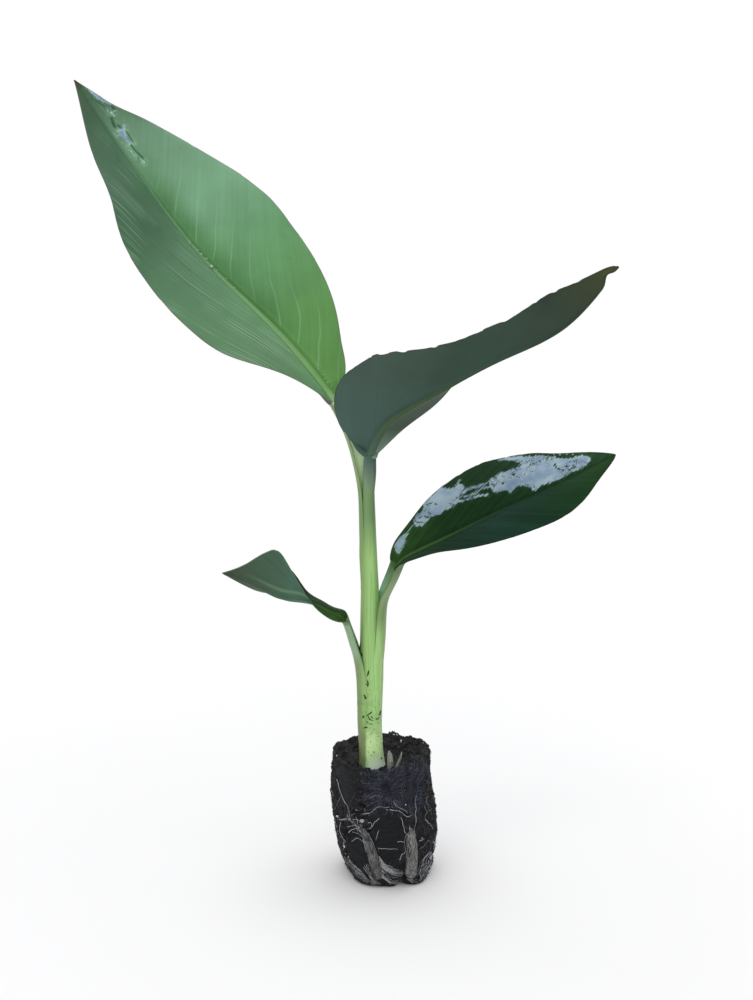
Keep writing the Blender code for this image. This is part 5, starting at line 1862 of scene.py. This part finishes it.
def add_tubes(name, paths, radii, sides, finishes, kinds):
    """Tubes as one mesh, kept above the floor. kinds says which finish each tube has."""
    points, faces = tubes(paths, radii, sides)
    points[:, 2] = np.maximum(points[:, 2], 0)
    return add_mesh(name, points, faces, finishes, np.repeat(kinds, len(faces) // len(paths)))


def wandering(azimuth, z, fall, drift, random):
    """A root that starts on the ball's side and wanders down it."""
    t = np.linspace(0, 1, TUBE_ROWS)
    turns = azimuth + drift * t + spline(random.normal(0, 5, 7), t)
    heights = np.clip(z - fall * t, 1.0 * MM, None)
    return on_surface(ball_point(turns, heights), np.full(TUBE_ROWS, 0.12 * MM))


trial = traced(FINE_ROOTS[0][1], 0.0, 0.0, 0)
print("the first traced root is", round(lengths_along(trial)[-1] / MM, 1), "mm long")

# %% Fine roots
HIDDEN_ROOTS = 70


def mat_strands(random):
    """Strands between the two guides of each mat, each a little off its neighbours, and which are pale."""
    strands, pale = [], []
    for count, share_pale, first, last in MATS:
        first, last = np.array(first), np.array(last)
        for share in random.random(count):
            strands.append(first + share * (last - first) + random.normal(0, 0.9, first.shape))
            pale.append(share_pale)
    return strands, pale


def taper(thickness, random):
    """Radii along a root: swollen here and there, thin at its end."""
    t = np.linspace(0, 1, TUBE_ROWS)
    return thickness / 2 * MM * (1 - 0.55 * t**2) * (1 + 0.15 * np.sin(t * 17 + random.uniform(0, 6)))


def add_fine_roots():
    """The traced roots, the strands of the mats and the hidden roots, as one mesh."""
    random = np.random.default_rng(11)
    paths, radii = [], []
    for k, (thickness, pixels) in enumerate(FINE_ROOTS):
        paths.append(traced(pixels, thickness * 0.4 * MM, 0.25 * MM, k))
        radii.append(taper(thickness * 0.8, random))
    strands, pale_share = mat_strands(random)
    for k, pixels in enumerate(strands):
        paths.append(traced(pixels, 0.25 * MM, 0.12 * MM, 100 + k))
        radii.append(taper(random.uniform(0.09, 0.19), random))
    for _ in range(HIDDEN_ROOTS):
        azimuth, z = random.uniform(-25, 205), random.uniform(8, 50) * MM
        paths.append(wandering(azimuth, z, random.uniform(3, 17) * MM, random.uniform(-38, 38), random))
        radii.append(taper(random.uniform(0.18, 0.4), random))
    pale = np.array([0.75] * len(FINE_ROOTS) + pale_share + [0.3] * HIDDEN_ROOTS)
    kinds = np.where(random.random(len(paths)) < pale, 0, random.choice([1, 2], len(paths)))
    pale_grey, grey, dark = (192, 195, 196), (120, 121, 118), (70, 68, 67)
    finishes = plain_materials(
        ("root_pale", pale_grey, 0.45), ("root_grey", grey, 0.5), ("root_dark", dark, 0.55)
    )
    roots = add_tubes("fine_roots", np.array(paths), np.array(radii), 6, finishes, kinds)
    settle(roots, "root_skin")
    print(roots.name, len(paths), "roots,", len(roots.data.polygons), "faces")


add_fine_roots()

# %% [markdown]
# Between them lies a felt of root hairs, thickest just below the stem. Hairs thinner than a tenth of a
# millimetre would vanish between two pixels, so two thousand slightly thicker curls stand for them.

# %% Root hairs
HAIRS, HAIR_ROWS = 2000, 8
HAIR_LENGTHS, HAIR_RADII = (1.0, 3.6), (0.025, 0.05)  # mm
WHORL = (388, 790)  # the pixel round which the felt's hairs are turned


def add_hairs():
    """Each hair starts on the felt, heads away from its middle and bends as its length is squared."""
    random = np.random.default_rng(17)
    tufts = smooth_step(soft_noise(BALL_GRID, 3.5 * MM, 47) * 1.6 + 0.45)
    sides = (np.abs(BALL_FACING[..., 2]) < 0.6) * (1 - BALL_VALUES["smooth"])
    weight = BALL_VALUES["felt"] * tufts + 0.05 * sides
    starts, facing = places_on_ball(HAIRS, weight, random)
    t = np.linspace(0, 1, HAIR_ROWS)[None, :, None]
    middle = seen_on([WHORL])[0]
    heading = square_to(facing, unit(starts - middle) + 0.5 * random.normal(size=facing.shape))
    side = np.cross(facing, heading)
    length = random.uniform(*HAIR_LENGTHS, (HAIRS, 1, 1)) * MM
    bend = random.uniform(-0.8, 0.8, (HAIRS, 1, 1))
    rise = random.uniform(0.0, 0.2, (HAIRS, 1, 1))
    paths = starts[:, None] + length * (t * heading[:, None] + bend * t**2 * side[:, None])
    flat = np.array([on_surface(path, np.full(HAIR_ROWS, 0.05 * MM)) for path in paths])
    paths = flat + length * rise * (t * (1 - t)) * 4 * facing[:, None]
    radii = np.repeat(random.uniform(*HAIR_RADII, (HAIRS, 1)) * MM, HAIR_ROWS, axis=1)
    kinds = random.choice(2, HAIRS, p=[0.75, 0.25])
    finishes = plain_materials(("hair_grey", (74, 78, 94), 0.6), ("hair_pale", (118, 122, 138), 0.6))
    hairs = add_tubes("root_hairs", paths, radii, 4, finishes, kinds)
    settle(hairs, "root_skin")
    print(hairs.name, HAIRS, "hairs,", len(hairs.data.polygons), "faces")


add_hairs()

# %% [markdown]
# The two thick roots follow the same line on the ball as their solids. Each is a tube whose girth
# swells and shrinks a little, with ridges along it where its skin has wrinkled. Split skin and thin
# side roots cling to them, so fibres wind down both.

# %% Thick roots
THICK_ROOTS = {
    "root_left": ([-118, -109, -103, -100], [29, 22, 12, 4], [0.8, 1.9, 2.2, 1.9]),
    "root_right": ([-58, -58, -58, -59], [27, 20, 12, 4], [0.9, 2.1, 2.4, 2.2]),
}
ROOT_SKINS = {"root_left": ((30, 30, 30), (96, 96, 95)), "root_right": ((58, 55, 53), (150, 147, 142))}
ROOT_SUNK = 0.6 * MM
ROOT_ROWS, ROOT_SIDES = 90, 36
ROOT_END = 0.06  # the share of the length over which an end rounds off
WRINKLE_SHARE, KNOT_SHARE, KNOT_SIZE = 0.13, 0.1, 4 * MM
ROOT_FIBRES = {"root_left": 110, "root_right": 46}


def thick_root_grid(azimuths, heights, radii, seed):
    """Rings square to a path on the ball, whose radius carries wrinkles along it and a few knots."""
    t = np.linspace(0, 1, ROOT_ROWS)
    path = ball_point(spline(azimuths, t), spline(heights, t) * MM, -ROOT_SUNK)
    tangent = along(path)
    out = square_to(tangent, polar(spline(azimuths, t)))
    side = np.cross(tangent, out)
    turn = np.arange(ROOT_SIDES) * 2 * np.pi / ROOT_SIDES
    ring = np.cos(turn)[None, :, None] * out[:, None] + np.sin(turn)[None, :, None] * side[:, None]
    rounded = np.sqrt(np.clip(1 - (1 - np.minimum(t, 1 - t) / ROOT_END).clip(0) ** 2, 0.02, 1))
    radius = (spline(radii, t) * MM * rounded)[:, None]
    across = ring * 2.6 + t[:, None, None] * np.array([0, 0, 1.5])
    wrinkles = rough_noise(across, 0.9, 3, seed)
    knots = rough_noise(path, KNOT_SIZE, 2, seed)[:, None]
    radius = radius * (1 + WRINKLE_SHARE * wrinkles + KNOT_SHARE * knots)
    grid = path[:, None] + radius[..., None] * ring
    grid[..., 2] = np.maximum(grid[..., 2], 0.2 * MM)
    return grid


def fibres_on(grid, count, random):
    """Fibres along a thick root: each starts at a place on it and winds slowly round it as it goes down."""
    rows, sides = grid.shape[:2]
    start = random.uniform(0.0, 0.75, count)[:, None]
    t = start + random.uniform(0.15, 0.5, (count, 1)) * np.linspace(0, 1, TUBE_ROWS)
    row = np.clip(t, 0, 1) * (rows - 1)
    drift = random.normal(0, 0.3, (count, 1)) * (t - start) + 0.03 * np.sin(40 * t + 9 * start)
    turn = (random.uniform(-0.3, 0.3, (count, 1)) + drift) * sides
    near = grid[row.astype(int), turn.astype(int) % sides]
    over = grid[np.minimum(row.astype(int) + 1, rows - 1), (turn.astype(int) + 1) % sides]
    share = (row % 1)[..., None]
    path = near + share * (over - near)
    for _ in range(3):
        path[:, 1:-1] = 0.25 * path[:, :-2] + 0.5 * path[:, 1:-1] + 0.25 * path[:, 2:]
    return path


def add_thick_roots():
    """Both roots as pieces, and the fibres of both as one."""
    random = np.random.default_rng(31)
    paths = []
    for k, (node, shape) in enumerate(THICK_ROOTS.items()):
        grid = thick_root_grid(*shape, 51 + k)
        side = node.removeprefix("root_")
        finish = root_material(f"{side}_root_skin", *ROOT_SKINS[node], 420.0, 0.5)
        root = add_skin(f"{node}_skin", grid, [finish])
        settle(root, "root_skin", node)
        paths.append(fibres_on(grid, ROOT_FIBRES[node], random))
        print(root.name, len(root.data.polygons), "faces")
    paths = np.concatenate(paths)
    radii = np.array([taper(random.uniform(0.14, 0.3), random) for _ in paths])
    kinds = random.choice(3, len(paths), p=[0.25, 0.4, 0.35])
    pale, grey, dark = (152, 152, 150), (98, 98, 96), (42, 41, 41)
    finishes = plain_materials(
        ("fibre_pale", pale, 0.55), ("fibre_grey", grey, 0.55), ("fibre_dark", dark, 0.55)
    )
    fibres = add_tubes("thick_root_fibres", paths, radii, 5, finishes, kinds)
    settle(fibres, "root_skin")
    print(fibres.name, len(paths), "fibres,", len(fibres.data.polygons), "faces")


add_thick_roots()

# %% [markdown]
# Two pale side shoots have just come up beside the stem. Each is a rolled leaf tip: a pointed tube
# with one seam, so its section is a circle with a shallow notch that turns slowly on the way up.

# %% Side shoots
SHOOTS = {
    "shoot_near": ((1.5, -10.0, 48.5), (1.3, -9.6, 57.2), 1.2),
    "shoot_far": ((3.9, -8.2, 48.5), (6.6, -8.0, 56.2), 0.6),
}
SHOOT_TAPER = [1.0, 1.1, 1.12, 1.02, 0.8, 0.2]
SHOOT_BEND = 0.35  # mm
SEAM_START, SEAM_TURN = 3.6, 1.2  # radians: where the seam starts, and how far it turns on its way
SHOOT_ROWS, SHOOT_SIDES = 60, 32


def shoot_grid(foot, tip, radius):
    """Level rings along a bowed line, whose radius dips at the seam."""
    t = np.linspace(0, 1, SHOOT_ROWS)
    foot, tip = np.array(foot) * MM, np.array(tip) * MM
    path = foot + t[:, None] * (tip - foot) + (SHOOT_BEND * np.sin(np.pi * t))[:, None] * np.array([MM, 0, 0])
    turn = np.arange(SHOOT_SIDES) * 2 * np.pi / SHOOT_SIDES
    seam = np.cos(turn[None] - SEAM_START - SEAM_TURN * t[:, None])
    girth = radius * MM * spline(SHOOT_TAPER, t)[:, None] * (1 - 0.16 * smooth_step(seam * 4 - 3))
    ring = np.stack([np.cos(turn), np.sin(turn), np.zeros(SHOOT_SIDES)], axis=1)
    return path[:, None] + girth[..., None] * ring[None]


def add_shoots():
    """Both shoots, in one finish."""
    finish = root_material("shoot_skin", (112, 118, 104), (190, 194, 178), 500.0, 0.45)
    for node, shape in SHOOTS.items():
        shoot = add_skin(f"{node}_skin", shoot_grid(*shape), [finish])
        settle(shoot, "pale_shoot", node)
        print(shoot.name, len(shoot.data.polygons), "faces")


add_shoots()

# %% [markdown]
# Wet peat has smeared the stem low down, where it was handled, and some lies in the corners between the
# sheaths and heaped against the foot. The smears are short, flat runs of soil laid on the sheaths.

# %% Soil on the stem
# Each smear's width in mm, and points along it in the photograph's pixels.
SMEARS = [
    (0.7, [(360.8, 643), (359.8, 646), (358.8, 648.4)]),
    (0.8, [(361.4, 652.4), (361.8, 654.5), (361.9, 656.5)]),
    (0.7, [(368.7, 670), (368.2, 673.5), (367.3, 676.8)]),
    (0.6, [(366.6, 679.5), (368, 683.6), (367.3, 687)]),
    (0.4, [(365.5, 683.6), (367, 684.5), (368.7, 685)]),
    (0.7, [(363.6, 694.5), (365, 697.5), (366.6, 699.9)]),
    (0.6, [(367.1, 715.5), (368.9, 714.2), (370.5, 713.4), (372.1, 711.5)]),
    (0.5, [(367.9, 715.6), (369.5, 718.5), (371.1, 719.8), (373.2, 720.9)]),
    (0.6, [(375.7, 718.4), (377.2, 719.1), (378.2, 718.8)]),
    (0.65, [(362.2, 718), (363.2, 716.9), (364.1, 715.8)]),
    (0.9, [(380.3, 710.7), (380.1, 713), (379.7, 715.6)]),
    (0.4, [(378.2, 718.9), (378.7, 717.8), (379.2, 716.8)]),
    (0.6, [(363.2, 728.4), (365.3, 727.4), (367.3, 727.7)]),
    (0.3, [(366, 716), (367.5, 715.4), (369, 715.8)]),
    (0.4, [(370.5, 715.5), (371.8, 717.3), (373, 719)]),
    (0.9, [(381.5, 757.6), (381.8, 758.5), (382.0, 759.4)]),
    (0.3, [(369, 724.5), (371, 724), (373, 724.6)]),
    (0.3, [(366.5, 721), (367.5, 722.4), (368.2, 723.8)]),
    (0.4, [(357.6, 700), (357.8, 703), (357.6, 706)]),
]
SMEAR_PROUD, SMEAR_LIFT = 0.35, 0.04 * MM  # how much of its thickness a pressed smear keeps, and its lift
HEAP_COUNT = 90
HEAP_MIDDLE, HEAP_SPREAD = 200, 60  # degrees: the side where the soil lies highest
HEAP_WIDTH, HEAP_RISE, HEAP_SIZES = 1.6, (-0.3, 1.6), (0.35, 0.9)  # mm


def add_smears(random):
    """Tubes laid on the sheaths, pointed at both ends, and pressed flat towards the surface under them."""
    runs = [pixels for _, pixels in SMEARS]
    paths = [traced(pixels, 0.02 * MM, 0.2 * MM, 300 + k, STEM_TREE) for k, pixels in enumerate(runs)]
    swell = np.sin(np.pi * np.linspace(0.04, 0.96, TUBE_ROWS)) ** 0.6
    radii = np.array([0.5 * width * MM * swell for width, _ in SMEARS])
    uneven = (1 + 0.25 * random.normal(size=radii.shape)).clip(0.3)
    points, faces = tubes(np.array(paths), radii * uneven, 6)
    found = map(STEM_TREE.find_nearest, points.tolist())
    under = np.array([(near[0] + SMEAR_LIFT * near[1])[:] for near in found])
    points = SMEAR_PROUD * points + (1 - SMEAR_PROUD) * under
    smears = add_mesh("soil_smears", points, faces, plain_materials(("soil_wet", (36, 42, 26), 0.5)))
    settle(smears, "moist_peat")
    print(smears.name, len(SMEARS), "smears")


def add_heap(random):
    """Crumbs heaped round the stem's foot, highest on one side."""
    turn = random.uniform(0, 360, HEAP_COUNT)
    weight = 0.4 + 0.6 * hump(degrees_from(HEAP_MIDDLE, turn), HEAP_SPREAD)
    out = STEM_RADII[0] * MM + random.uniform(0.0, HEAP_WIDTH, HEAP_COUNT) * MM
    centres = stem_axis(np.full(HEAP_COUNT, SOIL_CENTRE[2])) + out[:, None] * polar(turn)
    centres[:, 2] += random.uniform(*HEAP_RISE, HEAP_COUNT) * weight * MM
    finishes = plain_materials(("heap_black", (30, 30, 30), 0.8), ("heap_brown", (52, 47, 44), 0.85))
    kinds = random.choice(2, HEAP_COUNT)
    sizes = random.uniform(*HEAP_SIZES, HEAP_COUNT) * MM
    heap = lumps("soil_heap", centres, polar(turn), sizes, 0.8, finishes, kinds, random)
    settle(heap, "moist_peat")
    print(heap.name, HEAP_COUNT, "crumbs at the foot")


soil_draws = np.random.default_rng(23)
add_smears(soil_draws)
add_heap(soil_draws)

# %% [markdown]
# Drops of water stand along the rib of the largest leaf and on the upper margin of the wet one. Each is a
# lump rounded by a subdivision surface and sunk into the leaf. Clear water bends light as 1.33. On the real
# leaf each drop also mirrors the sky, so here the water is only partly clear, and its pale colour is a
# painted reflection of the sky.

# %% Drops of water
# For each leaf, the pixel and the size in mm of each drop.
DROPS = {
    1: [(189.5, 243, 0.7), (193, 247, 0.6), (197.5, 250.5, 0.75), (201.5, 254.5, 0.7), (206.5, 259, 0.6),
        (211.5, 266.5, 1.5), (216.5, 270.5, 0.6), (226.5, 278.5, 0.45), (234.3, 288, 0.5), (288.6, 351, 0.5),
        (291.5, 353.5, 0.35), (318.7, 369.5, 0.45), (322.5, 374.5, 0.5), (325.5, 379, 0.6), (328, 382.5, 0.6),
        (331, 386, 0.45)],
    3: [(554, 455.2, 0.5), (560, 454.8, 0.6), (567, 454.8, 0.5), (573, 454.8, 0.55)],
}  # fmt: skip
DROP_FLATNESS, DROP_LIFT = 0.75, 0.2  # shares of a drop's size
DROP_ROUNDING = 2
CLEARNESS, WATER_IOR = 0.55, 1.33


def add_drops():
    """Drops at their places in the photograph, lifted off the leaf by a share of their size."""
    random = np.random.default_rng(29)
    water, _, shader = new_material("water_with_painted_sky", 0.02)
    # The pale base colour is a painted reflection of the sky.
    shader["Base Color"].default_value = rgb(222, 246, 220)
    shader["Transmission Weight"].default_value = CLEARNESS
    shader["IOR"].default_value = WATER_IOR
    for number, drops in DROPS.items():
        drops = np.array(drops)
        centres, facing = seen_on(drops[:, :2], tree_of(BLADES[number][0]))
        sizes = drops[: len(centres), 2] * MM
        kinds = np.zeros(len(centres), int)
        centres = centres + DROP_LIFT * sizes[:, None] * facing
        name = f"drops_on_leaf_{number}"
        piece = lumps(name, centres, facing, sizes, DROP_FLATNESS, [water], kinds, random)
        rounding = piece.modifiers.new("rounded", "SUBSURF")
        rounding.levels = rounding.render_levels = DROP_ROUNDING
        settle(piece, "leaf_face")
        print(piece.name, len(centres), "of", len(drops), "drops found their place")


add_drops()
